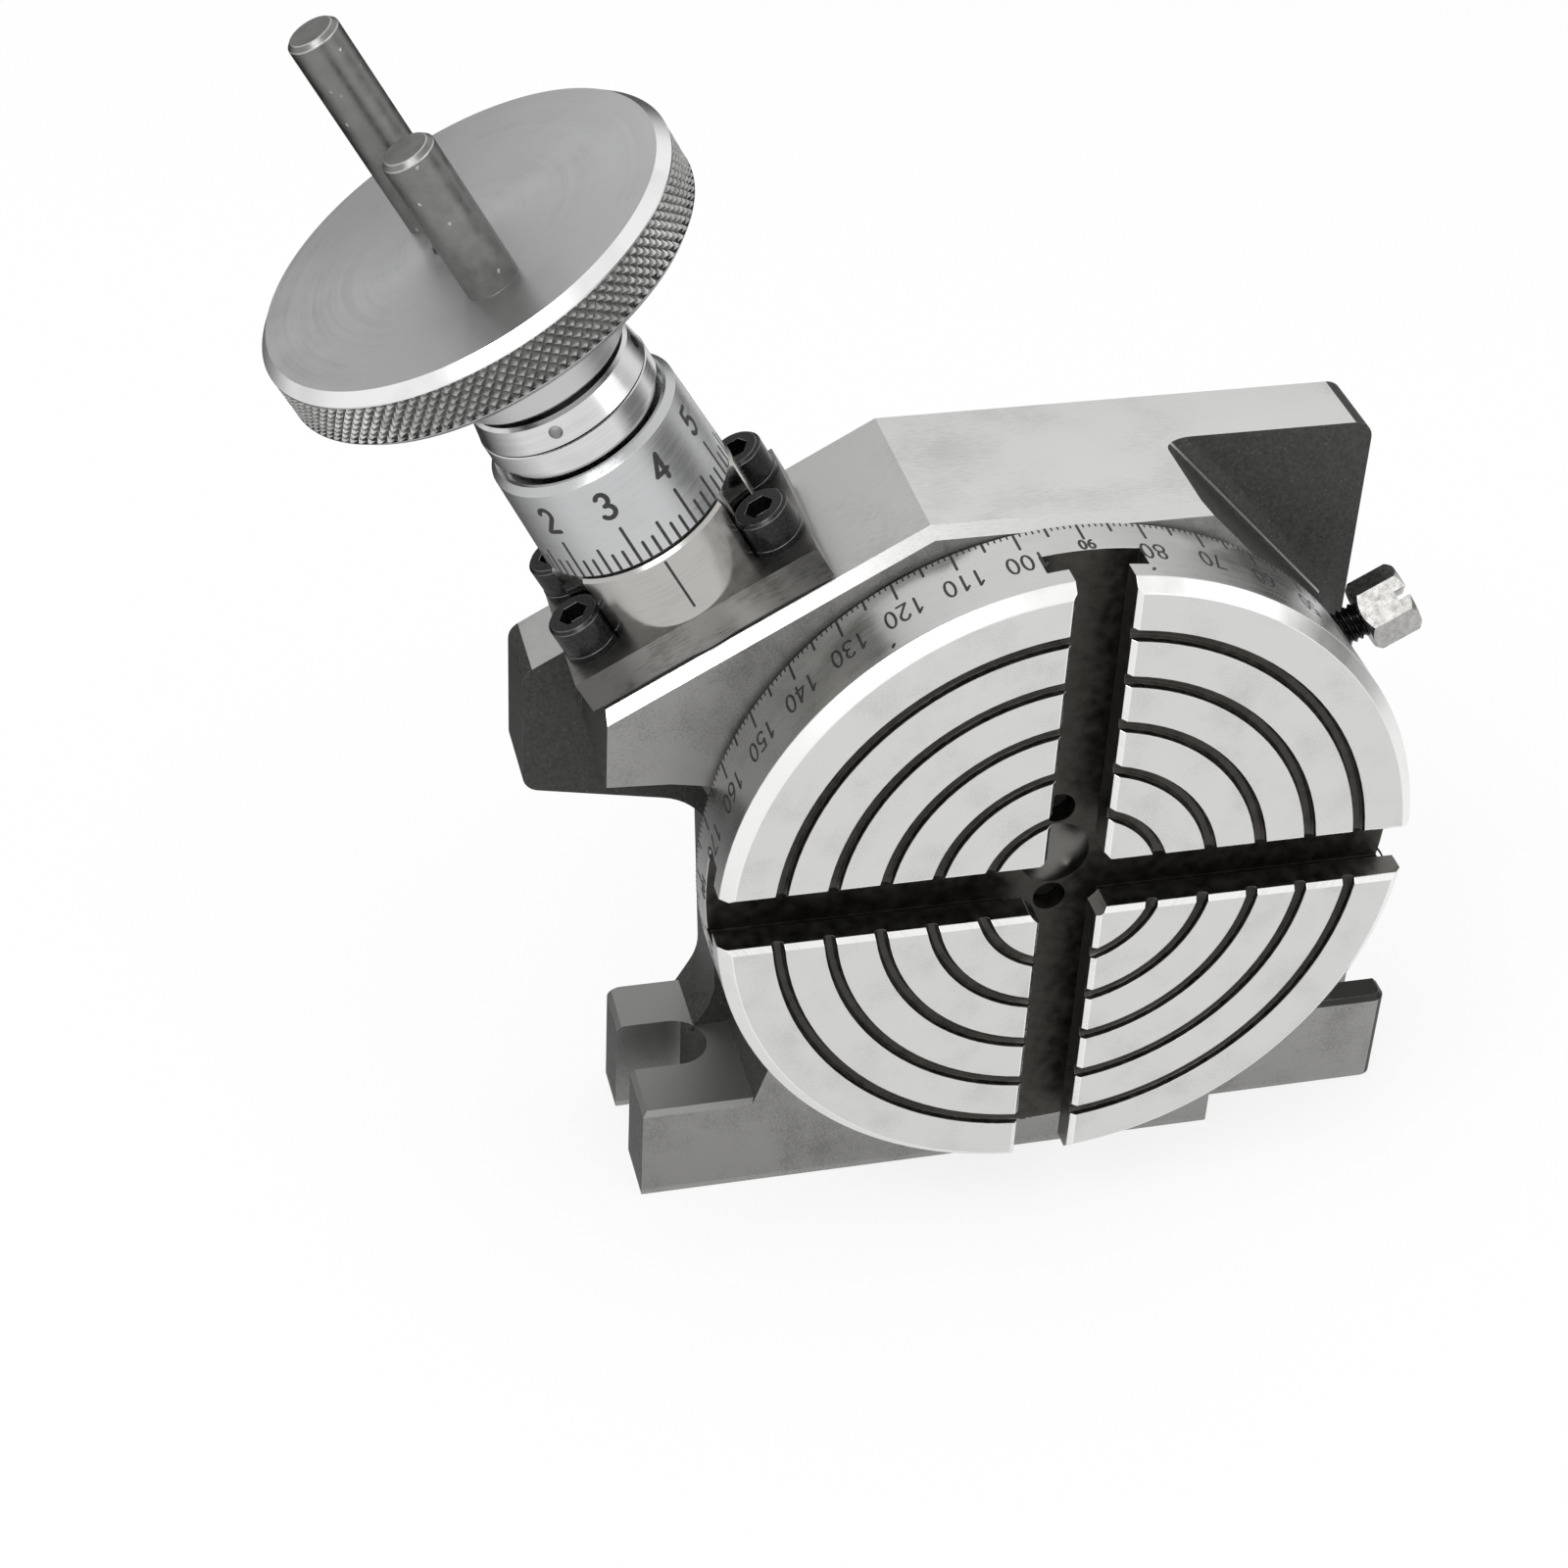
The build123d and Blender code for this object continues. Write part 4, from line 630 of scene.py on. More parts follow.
def add_stroke(shape, stroke, half_width, wrap):
    """One filled stroke: a thin strip, a hair above the steel and a little deeper than it."""
    rows = []
    for middle, direction, half in stroke_ribs(stroke, half_width):
        side = Vector((-direction.y, direction.x)) * max(half, half_width * STROKE_TIP)
        levels = [(side, -FILL_DEPTH), (side, FILL_RISE), (-side, FILL_RISE), (-side, -FILL_DEPTH)]
        rows.append([shape.verts.new(wrap(middle + offset, level)) for offset, level in levels])
    for low, high in zip(rows, rows[1:]):
        for corner in range(4):
            after = (corner + 1) % 4
            shape.faces.new((low[corner], low[after], high[after], high[corner]))
    shape.faces.new(rows[0][::-1])
    shape.faces.new(rows[-1])


def piece_from(shape, name, place, smooth_angle=30):
    """A piece made of a finished mesh, in the coordinates of a place."""
    bmesh.ops.recalc_face_normals(shape, faces=shape.faces)
    mesh = bpy.data.meshes.new(name)
    shape.to_mesh(mesh)
    shape.free()
    mesh.shade_smooth()
    mesh.set_sharp_from_angle(angle=math.radians(smooth_angle))
    piece = bpy.data.objects.new(name, mesh)
    bpy.context.scene.collection.objects.link(piece)
    piece.matrix_world = place
    return piece


def black_fill():
    """Black wax in the engraving, a little worn."""
    material = new_finish("black_fill", (0.016, 0.016, 0.016), 0.0, 0.5)
    wear = grain(material, in_millimetres(material), 2.2, 4.0)
    colour_by(material, wear, (0.010, 0.010, 0.010), (0.05, 0.05, 0.05), 0.45, 0.8)
    roughness_by(material, wear, 0.4, 0.62)
    relief(material, [(wear, 0.006)])
    return material


engraving = black_fill()


def wrap_on_rim(angle):
    """Leads flat places to the rim: X round it from an angle, Y forward from its rear edge."""
    def wrap(flat, level):
        turn = angle + flat.x / TABLE_RADIUS
        radius = TABLE_RADIUS + level
        return Vector((radius * math.cos(turn), radius * math.sin(turn), flat.y - TABLE_THICKNESS))

    return wrap


rim_lines = bmesh.new()
rim_figures = bmesh.new()
for degree in range(360):
    wrap = wrap_on_rim(math.radians(degree))
    if degree % 10 == 0:
        length, width = RIM_LONG, RIM_LINE_WIDTH
    elif degree % 5 == 0:
        length, width = RIM_MIDDLE, RIM_LINE_WIDTH
    else:
        length, width = RIM_SHORT, RIM_FINE_WIDTH
    middle = RIM_LINE_START + length / 2
    add_stroke(rim_lines, [(0, RIM_LINE_START), (0, middle), (0, length)], width / 2, wrap)
    if degree % 10 == 0:
        over_slot = degree % 90 == 0
        height = SMALL_FIGURE_HEIGHT if over_slot else RIM_FIGURE_HEIGHT
        foot = SMALL_FIGURE_FOOT if over_slot else RIM_FIGURE_FOOT
        for stroke in figure_strokes(str(degree), height, RIM_FIGURE_NARROW):
            lifted = [(x, y + foot) for x, y in stroke]
            add_stroke(rim_figures, lifted, RIM_LINE_WIDTH / 2, wrap)

rim_lines = piece_from(rim_lines, "rim_lines", table_place)
rim_figures = piece_from(rim_figures, "rim_figures", table_place)

# Two small knocks in the rim, as on a table that has been used: angle, place behind the face, width.
RIM_KNOCKS = ((81.6, 4.0 * MM, 0.5 * MM), (123.4, 3.5 * MM, 0.55 * MM))
KNOCK_ACROSS = 0.25 * MM
KNOCK_LONG = 0.4 * MM
rim_knocks = bmesh.new()
for angle, behind, width in RIM_KNOCKS:
    wrap = wrap_on_rim(math.radians(angle))
    foot = TABLE_THICKNESS - behind
    add_stroke(rim_knocks, [(0, foot), (KNOCK_ACROSS, foot + KNOCK_LONG)], width / 2, wrap)
rim_knocks = piece_from(rim_knocks, "rim_knocks", table_place)
for piece in (rim_lines, rim_figures, rim_knocks):
    piece.data.materials.append(engraving)
    settle(piece, "table")


# The spindle, the worm wheel, the worm and their bushes: turned steel and bronze, fitted into the
# casting. The spindle shows at the foot of the table's tapped holes, and the worm's end in the handwheel.
PLAIN_CONTRAST = 0.8


def plain_metal(name, colour, roughness):
    """Machined metal with a fine even grain."""
    material = new_finish(name, colour, 1.0, roughness)
    fine = grain(material, in_millimetres(material), 3.0, 4.0)
    dark = [value * PLAIN_CONTRAST for value in colour]
    colour_by(material, fine, dark, colour)
    roughness_by(material, fine, roughness - 0.06, roughness + 0.08)
    relief(material, [(fine, 0.003)])
    return material


def give_metal(metal, *names):
    """Gives measured nodes, which stay as they are, their metal."""
    for name in names:
        nodes[name].data.materials.clear()
        nodes[name].data.materials.append(metal)


inner_steel = plain_metal("inner_steel", (0.50, 0.50, 0.49), 0.34)
bearing_bronze = plain_metal("bearing_bronze", (0.62, 0.43, 0.22), 0.32)
give_metal(inner_steel, "table_spindle", "ring_nut", "wheel_key", "worm_shaft")
give_metal(bearing_bronze, "worm_wheel", "upper_worm_bush", "middle_worm_bush", "lower_worm_bush")
give_metal(bearing_bronze, "thrust_washer", "lock_pad")


# The low domed plug in the middle of the slots' floor, turned steel dulled by oil, with its shank in
# the spindle. The table's own screws, of blackened steel, come through the spindle's flange from behind.
plug = own_copy("centre_plug_turned", "centre_plug", table_place)
plug.data.materials.append(turned_steel("turned_plug", (0.15, 0.145, 0.135), roughness=0.33, stretch=0.2))
shade_turned(plug)
settle(plug, "table", "centre_plug")
black_screws = plain_metal("black_screws", (0.03, 0.03, 0.032), 0.35)
give_metal(black_screws, "table_screws")


# The cover behind the worm wheel, a turned steel disc let into the casting's back. Four countersunk
# screws of blackened steel hold it.
COVER_EDGE = 0.15 * MM
cover = own_copy("rear_cover_turned", "rear_cover", table_place)
cover.data.materials.append(turned_steel("turned_cover", (0.55, 0.55, 0.54), roughness=0.34, stretch=0.5))
soften_edges(cover, COVER_EDGE)
keep_rounds(cover)
shade_turned(cover)
settle(cover, "base", "rear_cover")
give_metal(black_screws, "cover_screws")


# The worm's bearing housing on the slanted seat: a milled steel flange with a chamfer below, and a
# polished round boss. Four socket screws on spring washers hold it.
HOUSING_EDGE = 0.3 * MM
HOUSING_BOSS_RADIUS = 15.7 * MM
BOSS_INNER_SHARE = 0.9
FLANGE_SEAT = 58.8 * MM
FLANGE_TOP = 65.8 * MM
FLANGE_HALF_LENGTH = 20.2 * MM
FLANGE_FRONT = 15.75 * MM
FLANGE_CHAMFER = 1.4 * MM
FLANGE_EDGE_DEPTH = 0.6 * MM
STRIP_BACK = 10.5 * MM
HOUSING_ROOM = 0.1 * MM
worm_across = Vector((worm_direction.z, 0, -worm_direction.x))
worm_place = place_at(worm_origin, worm_across, worm_direction)


def brushed_flange():
    """Milled and brushed steel, with marks along the flange."""
    material = new_finish("brushed_flange", (0.30, 0.295, 0.28), 1.0, 0.33)
    marks = grain(material, in_millimetres(material, (0.2, 2.5, 2.5)), 2.2, 5.0, 0.65)
    broad = grain(material, in_millimetres(material), 0.15, 3.0)
    both = together(material, marks, broad)
    colour_by(material, both, (0.15, 0.146, 0.137), (0.26, 0.255, 0.243), 0.75, 1.25)
    roughness_by(material, both, 0.26, 0.42, 0.7, 1.3)
    relief(material, [(marks, 0.006)])
    return material


# How much a face looks up the worm: a wall beside it, and the softened edge round the flange's top.
BESIDE = 0.9
EDGE_LEAN_LEAST = 0.15
EDGE_LEAN_MOST = 0.97
FLANGE, BOSS, FLANGE_EDGE = range(3)


def housing_face(middle, direction):
    """Which finish a face of the housing has, by its place and how much it looks up the worm."""
    local = worm_place.inverted() @ middle
    radius = Vector((local.x, local.y)).length
    upward = direction.dot(worm_direction)
    in_boss = radius < HOUSING_BOSS_RADIUS + HOUSING_ROOM
    round_wall = in_boss and radius > BOSS_INNER_SHARE * HOUSING_BOSS_RADIUS and abs(upward) < BESIDE
    if in_boss and local.z > FLANGE_TOP + 2 * HOUSING_ROOM:
        return BOSS
    if round_wall and local.z > FLANGE_TOP:
        return BOSS
    on_edge = EDGE_LEAN_LEAST < upward < EDGE_LEAN_MOST and local.z > FLANGE_TOP - FLANGE_EDGE_DEPTH
    return FLANGE_EDGE if on_edge else FLANGE


def flange_front():
    """The flange's front strip, as deep as the boss is round, with the chamfer along its foot."""
    strip = bmesh.new()
    rows = []
    levels = ((FLANGE_SEAT, FLANGE_CHAMFER), (FLANGE_SEAT + FLANGE_CHAMFER, 0), (FLANGE_TOP, 0))
    for height, inset in levels:
        side = FLANGE_HALF_LENGTH - inset
        front = -FLANGE_FRONT + inset
        corners = ((-side, front), (side, front), (side, -STRIP_BACK), (-side, -STRIP_BACK))
        rows.append([strip.verts.new((x, y, height)) for x, y in corners])
    for low, high in zip(rows, rows[1:]):
        for side in range(4):
            after = (side + 1) % 4
            strip.faces.new((low[side], low[after], high[after], high[side]))
    strip.faces.new(rows[0][::-1])
    strip.faces.new(rows[-1])
    return piece_from(strip, "flange_front", worm_place)


def join_solid(piece, other):
    """Joins one solid to another and drops the second."""
    union = piece.modifiers.new("join", "BOOLEAN")
    union.operation = "UNION"
    union.solver = "EXACT"
    union.object = other
    keep_rounds(piece)
    bpy.data.objects.remove(other)


housing = own_copy("housing", "worm_housing", worm_place)
join_solid(housing, flange_front())
housing.data.materials.clear()
soften_edges(housing, HOUSING_EDGE)
keep_rounds(housing)
housing.data.shade_smooth()
housing.data.set_sharp_from_angle(angle=SHARP_ANGLE)
boss_finish = turned_steel("polished_boss", (0.46, 0.45, 0.43), roughness=0.16, stretch=0.35)
flange_edge = plain_metal("flange_edge", (0.72, 0.715, 0.70), 0.28)
housing_finishes = [brushed_flange(), boss_finish, flange_edge]
face_finishes(housing, housing_finishes, housing_face)
shade_turned(housing)
settle(housing, "base", "worm_housing")


# The line on the boss against which the dial is read. It is engraved along the worm at the boss's
# front, ends just below the dial, and is filled black.
INDEX_ANGLE = math.radians(-87.2)
INDEX_WIDTH = 0.4 * MM
INDEX_LOW = 67.6 * MM
INDEX_HIGH = 76.6 * MM


def wrap_on_boss(flat, level):
    """Leads flat places to the boss, at the line's angle: X round it, Y along the worm."""
    turn = INDEX_ANGLE + flat.x / HOUSING_BOSS_RADIUS
    radius = HOUSING_BOSS_RADIUS + level
    return Vector((radius * math.cos(turn), radius * math.sin(turn), flat.y))


index_line = bmesh.new()
index_middle = (INDEX_LOW + INDEX_HIGH) / 2
index_stroke = [(0, INDEX_LOW), (0, index_middle), (0, INDEX_HIGH)]
add_stroke(index_line, index_stroke, INDEX_WIDTH / 2, wrap_on_boss)
index_line = piece_from(index_line, "index_line", worm_place)
index_line.data.materials.append(engraving)
settle(index_line, "base")


# The four socket head screws of the housing and their spring washers: blackened steel, oily, with
# their edges polished. They go down through the flange into the casting.
BLACK_EDGES = {"flange_screws": 0.28 * MM, "flange_washers": 0.12 * MM}


def black_oxide():
    """Blackened steel with a film of oil."""
    material = new_finish("black_oxide", (0.018, 0.018, 0.019), 0.7, 0.24)
    fine = grain(material, in_millimetres(material), 2.0, 4.0)
    colour_by(material, fine, (0.010, 0.010, 0.011), (0.035, 0.035, 0.037))
    roughness_by(material, fine, 0.18, 0.34)
    relief(material, [(fine, 0.006)])
    return material


oiled_black = black_oxide()
polished_black = plain_metal("polished_black", (0.16, 0.16, 0.165), 0.2)
for name, edge in BLACK_EDGES.items():
    black = own_copy(name + "_black", name, worm_place)
    black.data.materials.append(oiled_black)
    soften_edges(black, edge, finish=polished_black)
    settle(black, "base", name)


# The graduated dial, the pressure ring on it and the lock nut that clamps both: turned steel, chromed
# satin and bright. They sit on a hub of bare turned steel, which a cross pin fixes to the worm's shaft.
satin = turned_steel("satin_chrome", (0.54, 0.545, 0.55), roughness=0.25, stretch=0.6, contrast=0.94)
polished = turned_steel("polished_ring", (0.66, 0.66, 0.66), roughness=0.15, stretch=0.45)
dial = own_copy("dial", "dial_ring", worm_place)
dial.data.materials.append(satin)
shade_turned(dial)
settle(dial, "dial", "dial_ring")
pressure_ring = own_copy("pressure_ring", "dial_pressure_ring", worm_place)
pressure_ring.data.materials.append(polished)
shade_turned(pressure_ring)
settle(pressure_ring, "worm", "dial_pressure_ring")
lock_nut = own_copy("lock_nut", "dial_lock_nut", worm_place)
lock_nut.data.materials.append(polished)
shade_turned(lock_nut)
settle(lock_nut, "dial_nut", "dial_lock_nut")
hub = own_copy("hub", "dial_hub", worm_place)
hub.data.materials.append(turned_steel("turned_hub", (0.42, 0.42, 0.42), roughness=0.3, stretch=0.4))
shade_turned(hub)
settle(hub, "worm", "dial_hub")
give_metal(inner_steel, "dial_hub_pin")


# The dial's lines and figures: ten degrees to the turn, with a figure and a long line to each, and a
# line to every ten minutes. They are engraved and filled black.
DIAL_FIRST_ANGLE = math.radians(-97.5)
DIAL_FIRST_FIGURE = 3
DIAL_DEGREES = 10
LINES_TO_DEGREE = 6
DIAL_LINE_START = 0.3 * MM
DIAL_LONG = 6.7 * MM
DIAL_MIDDLE = 4.5 * MM
DIAL_SHORT = 3.0 * MM
DIAL_LINE_WIDTH = 0.48 * MM
DIAL_FIGURE_WIDTH = 0.76 * MM
DIAL_FIGURE_HEIGHT = 4.2 * MM
DIAL_FIGURE_FOOT = 8.9 * MM
DIAL_FIGURE_NARROW = 0.85
DIAL_START = 78.3 * MM
DIAL_TAPER_LENGTH = 15.5 * MM
DIAL_LOW_RADIUS = 15.5 * MM
DIAL_TOP_RADIUS = 14.9 * MM


def wrap_on_dial(angle):
    """Leads flat places to the dial's taper: X round it from an angle, Y up from its lower edge."""
    def wrap(flat, level):
        radius = DIAL_LOW_RADIUS + (DIAL_TOP_RADIUS - DIAL_LOW_RADIUS) * flat.y / DIAL_TAPER_LENGTH + level
        turn = angle + flat.x / DIAL_LOW_RADIUS
        return Vector((radius * math.cos(turn), radius * math.sin(turn), flat.y + DIAL_START))

    return wrap


dial_lines = bmesh.new()
dial_figures = bmesh.new()
for line in range(DIAL_DEGREES * LINES_TO_DEGREE):
    wrap = wrap_on_dial(DIAL_FIRST_ANGLE + 2 * math.pi * line / (DIAL_DEGREES * LINES_TO_DEGREE))
    degree, minutes = divmod(line, LINES_TO_DEGREE)
    length = DIAL_SHORT
    if minutes == 0:
        length = DIAL_LONG
    elif minutes == LINES_TO_DEGREE // 2:
        length = DIAL_MIDDLE
    stroke = [(0, DIAL_LINE_START), (0, length / 2), (0, length)]
    add_stroke(dial_lines, stroke, DIAL_LINE_WIDTH / 2, wrap)
    if minutes == 0:
        figure = str((DIAL_FIRST_FIGURE + degree) % DIAL_DEGREES)
        for stroke in figure_strokes(figure, DIAL_FIGURE_HEIGHT, DIAL_FIGURE_NARROW):
            lifted = [(x, y + DIAL_FIGURE_FOOT) for x, y in stroke]
            add_stroke(dial_figures, lifted, DIAL_FIGURE_WIDTH / 2, wrap)
dial_lines = piece_from(dial_lines, "dial_lines", worm_place)
dial_figures = piece_from(dial_figures, "dial_figures", worm_place)
for piece in (dial_lines, dial_figures):
    piece.data.materials.append(engraving)
    settle(piece, "dial")


# The handwheel: a flat disc with a hub, turned from one piece of steel and satin chromed, with the
# edges of its rim bevelled bright. A set screw in the hub holds it to the worm's shaft.
WHEEL_FACE = 129.3 * MM
WHEEL_RADIUS = 32.0 * MM
WHEEL_RIM_START = 120.1 * MM
WHEEL_BEVEL = 1.5 * MM
WHEEL_UNDER_BEVEL = 0.9 * MM
WHEEL_HUB_START = 106.0 * MM
WHEEL_HUB_RADIUS = 13.3 * MM
WHEEL_HUB_EDGE = 0.5 * MM
WHEEL_HUB_FLARE = 1.5 * MM
WHEEL_WALL = 5.0 * MM
WHEEL_UNDERCUT = 2.0 * MM
WHEEL_FOOT_EDGE = 0.2 * MM
WHEEL_BORE = 6.02 * MM
WHEEL_FACE_BORE = 4.02 * MM
WHEEL_BORE_STEP = 109.0 * MM
WHEEL_SIDES = 144
WHEEL_SHARP = 20
KNURL_DEPTH = 0.62 * MM
KNURL_LOW = WHEEL_RIM_START + WHEEL_UNDER_BEVEL + 0.1 * MM
KNURL_HIGH = WHEEL_FACE - WHEEL_BEVEL - 0.25 * MM
KNURL_INSIDE = 30.0 * MM


def lathe(name, outline, place):
    """A turned piece from its closed outline of radius and height, about its place's Z axis."""
    shape = bmesh.new()
    rings = []
    for radius, height in outline:
        ring = []
        for step in range(WHEEL_SIDES):
            turn = 2 * math.pi * step / WHEEL_SIDES
            ring.append(shape.verts.new((radius * math.cos(turn), radius * math.sin(turn), height)))
        rings.append(ring)
    for low, high in zip(rings, rings[1:] + rings[:1]):
        for step in range(WHEEL_SIDES):
            after = (step + 1) % WHEEL_SIDES
            shape.faces.new((low[step], low[after], high[after], high[step]))
    return piece_from(shape, name, place, WHEEL_SHARP)


wheel_web = WHEEL_RIM_START + WHEEL_UNDERCUT
wheel_inside = WHEEL_RADIUS - WHEEL_WALL
wheel_outline = [
    (WHEEL_BORE, WHEEL_HUB_START),
    (WHEEL_HUB_RADIUS - WHEEL_HUB_EDGE, WHEEL_HUB_START),
    (WHEEL_HUB_RADIUS, WHEEL_HUB_START + WHEEL_HUB_EDGE),
    (WHEEL_HUB_RADIUS, wheel_web - WHEEL_HUB_FLARE),
    (WHEEL_HUB_RADIUS + WHEEL_HUB_FLARE / 3, wheel_web - WHEEL_HUB_FLARE / 3),
    (WHEEL_HUB_RADIUS + WHEEL_HUB_FLARE, wheel_web),
    (wheel_inside, wheel_web),
    (wheel_inside, WHEEL_RIM_START + WHEEL_FOOT_EDGE),
    (wheel_inside + WHEEL_FOOT_EDGE, WHEEL_RIM_START),
    (WHEEL_RADIUS - WHEEL_UNDER_BEVEL, WHEEL_RIM_START),
    (WHEEL_RADIUS, WHEEL_RIM_START + WHEEL_UNDER_BEVEL),
    (WHEEL_RADIUS, KNURL_LOW),
    (WHEEL_RADIUS - KNURL_DEPTH, KNURL_LOW),
    (WHEEL_RADIUS - KNURL_DEPTH, KNURL_HIGH),
    (WHEEL_RADIUS, KNURL_HIGH),
    (WHEEL_RADIUS, WHEEL_FACE - WHEEL_BEVEL),
    (WHEEL_RADIUS - WHEEL_BEVEL, WHEEL_FACE),
    (WHEEL_FACE_BORE, WHEEL_FACE),
    (WHEEL_FACE_BORE, WHEEL_BORE_STEP),
    (WHEEL_BORE, WHEEL_BORE_STEP),
]
wheel = lathe("handwheel_turned", wheel_outline, worm_place)
satin_face = turned_steel(
    "satin_wheel", (0.53, 0.532, 0.535), roughness=0.30, stretch=0.62, marks=1.2, depth=0.001, contrast=0.96
)
bright_bevel = turned_steel("bright_bevel", (0.84, 0.84, 0.84), roughness=0.18, stretch=0.4)
knurl_floor = plain_metal("knurl_floor", (0.12, 0.12, 0.118), 0.45)
SATIN, BEVEL, KNURL_FLOOR = range(3)


def wheel_face(middle, direction):
    """Which finish a face of the wheel has, by its place alone."""
    local = worm_place.inverted() @ middle
    radius = Vector((local.x, local.y)).length
    if KNURL_LOW < local.z < KNURL_HIGH and KNURL_INSIDE < radius < WHEEL_RADIUS - KNURL_DEPTH / 2:
        return KNURL_FLOOR
    if radius > WHEEL_RADIUS - WHEEL_BEVEL and local.z > KNURL_HIGH:
        return BEVEL
    return SATIN


face_finishes(wheel, [satin_face, bright_bevel, knurl_floor], wheel_face)
shade_turned(wheel)
settle(wheel, "worm", "handwheel")


# The knurl round the wheel's rim: diamonds pressed up by two crossing rollers, their tops rubbed
# bright and the valleys dull.
KNURL_ROUND = 112
KNURL_HALF_HEIGHT = 0.92 * MM
KNURL_TIP_LIFT = 0.004 * MM
KNURL_SHARP = 10
# A diamond's root in the wheel, its foot and its top: share of its width, and depth under the rim.
# The tip lift keeps its corners apart where the rim's edge cuts it off.
KNURL_LEVELS = ((1.06, KNURL_DEPTH + 0.15 * MM), (0.94, KNURL_DEPTH), (0.30, 0.02 * MM))


def knurl_metal():
    """Satin chrome on the diamonds, dulled in patches."""
    material = new_finish("knurled_chrome", (0.52, 0.52, 0.52), 1.0, 0.3)
    patches = grain(material, in_millimetres(material), 1.1, 4.0)
    colour_by(material, patches, (0.27, 0.27, 0.265), (0.46, 0.46, 0.455))
    roughness_by(material, patches, 0.22, 0.42)
    relief(material, [(patches, 0.01)])
    return material


knurl = bmesh.new()
half_turn = math.pi / KNURL_ROUND
rows = int((KNURL_HIGH - KNURL_LOW) / KNURL_HALF_HEIGHT)
row_height = (KNURL_HIGH - KNURL_LOW) / rows
for row in range(rows + 1):
    middle_height = KNURL_LOW + row * row_height
    for step in range(KNURL_ROUND):
        turn = 2 * half_turn * (step + 0.5 * (row % 2))
        corners = []
        for share, depth in KNURL_LEVELS:
            ring = []
            for along, up in ((1, 0), (0, 1), (-1, 0), (0, -1)):
                angle = turn + along * share * half_turn
                height = min(max(middle_height + up * share * row_height, KNURL_LOW), KNURL_HIGH)
                height += KNURL_TIP_LIFT * up
                radius = WHEEL_RADIUS - depth
                ring.append(knurl.verts.new((radius * math.cos(angle), radius * math.sin(angle), height)))
            corners.append(ring)
        for low, high in zip(corners, corners[1:]):
            for side in range(4):
                after = (side + 1) % 4
                knurl.faces.new((low[side], low[after], high[after], high[side]))
        knurl.faces.new(corners[0][::-1])
        knurl.faces.new(corners[-1])
knurl = piece_from(knurl, "wheel_knurl", worm_place, KNURL_SHARP)
knurl.data.materials.append(knurl_metal())
settle(knurl, "worm")


# The two pins to wind the wheel by, plain dark steel rod fixed in its face by spigots, worn bright at
# the edges and dinged along their sides. The set screw in the wheel's hub is blackened steel.
PIN_EDGE = 0.12 * MM


def dinged_steel():
    """Dull grey rod with small bright dings and scratches along it."""
    material = new_finish("dinged_rod", (0.20, 0.20, 0.195), 1.0, 0.34)
    place = in_millimetres(material)
    cloud = grain(material, place, 0.35, 4.0, 0.6)
    dings = add(material, "TexVoronoi", {"Vector": place, "Scale": 0.30}).outputs[0]
    ding = between(material, dings, 1.0, 0.0, 0.04, 0.11)
    colour = shades(material, cloud, (0.17, 0.17, 0.165), (0.23, 0.23, 0.222))
    spotted(material, ding, colour, (0.55, 0.55, 0.53))
    roughness_by(material, cloud, 0.26, 0.44)
    relief(material, [(ding, 0.12), (cloud, 0.01)])
    return material


pin_steel = dinged_steel()
pin_edge = plain_metal("pin_edge", (0.50, 0.50, 0.48), 0.3)
for name in ("finger_pin_long", "finger_pin_short"):
    pin = own_copy(name + "_turned", name, worm_place)
    pin.data.materials.append(pin_steel)
    soften_edges(pin, PIN_EDGE, finish=pin_edge)
    keep_rounds(pin)
    shade_turned(pin)
    settle(pin, "worm", name)
give_metal(black_screws, "handwheel_set_screw")


# The table's lock screw: a zinc-plated hexagon head with a slot, on a black M6 thread that shows
# between the head and the casting. It is screwed into the casting's right slope.
LOCK_HEAD_LENGTH = 8.0 * MM
LOCK_HEAD_EDGE = 0.18 * MM
LOCK_HEAD_SHARP = math.radians(25)
CUT_ROOM = 0.01 * MM
THREAD_RADIUS = 2.96 * MM
THREAD_PITCH = 1.0 * MM
THREAD_DEPTH = 0.5 * MM
THREAD_ENTRY = 0.3 * MM
# The outline is sunk by this share, so that the thread's crest is flat.
THREAD_CREST = 0.15
THREAD_SIDES = 40
ROWS_TO_PITCH = 10
THREAD_SHARP = 35
lock_direction = -Vector(joint("lock_turn")["axis"]).normalized()
lock_point = Vector(joint("lock_turn")["pos_m"])
lock_origin = lock_point - lock_direction * (lock_point - table_axis_point).dot(lock_direction)
lock_place = place_at(lock_origin, Vector((0, 1, 0)), lock_direction)


def zinc_plate():
    """Bright zinc with the mottle of the bath."""
    material = new_finish("zinc_plate", (0.55, 0.545, 0.53), 1.0, 0.24)
    cloud = grain(material, in_millimetres(material), 0.9, 5.0, 0.65)
    colour_by(material, cloud, (0.28, 0.276, 0.268), (0.52, 0.515, 0.50))
    roughness_by(material, cloud, 0.18, 0.36)
    relief(material, [(cloud, 0.015)])
    return material


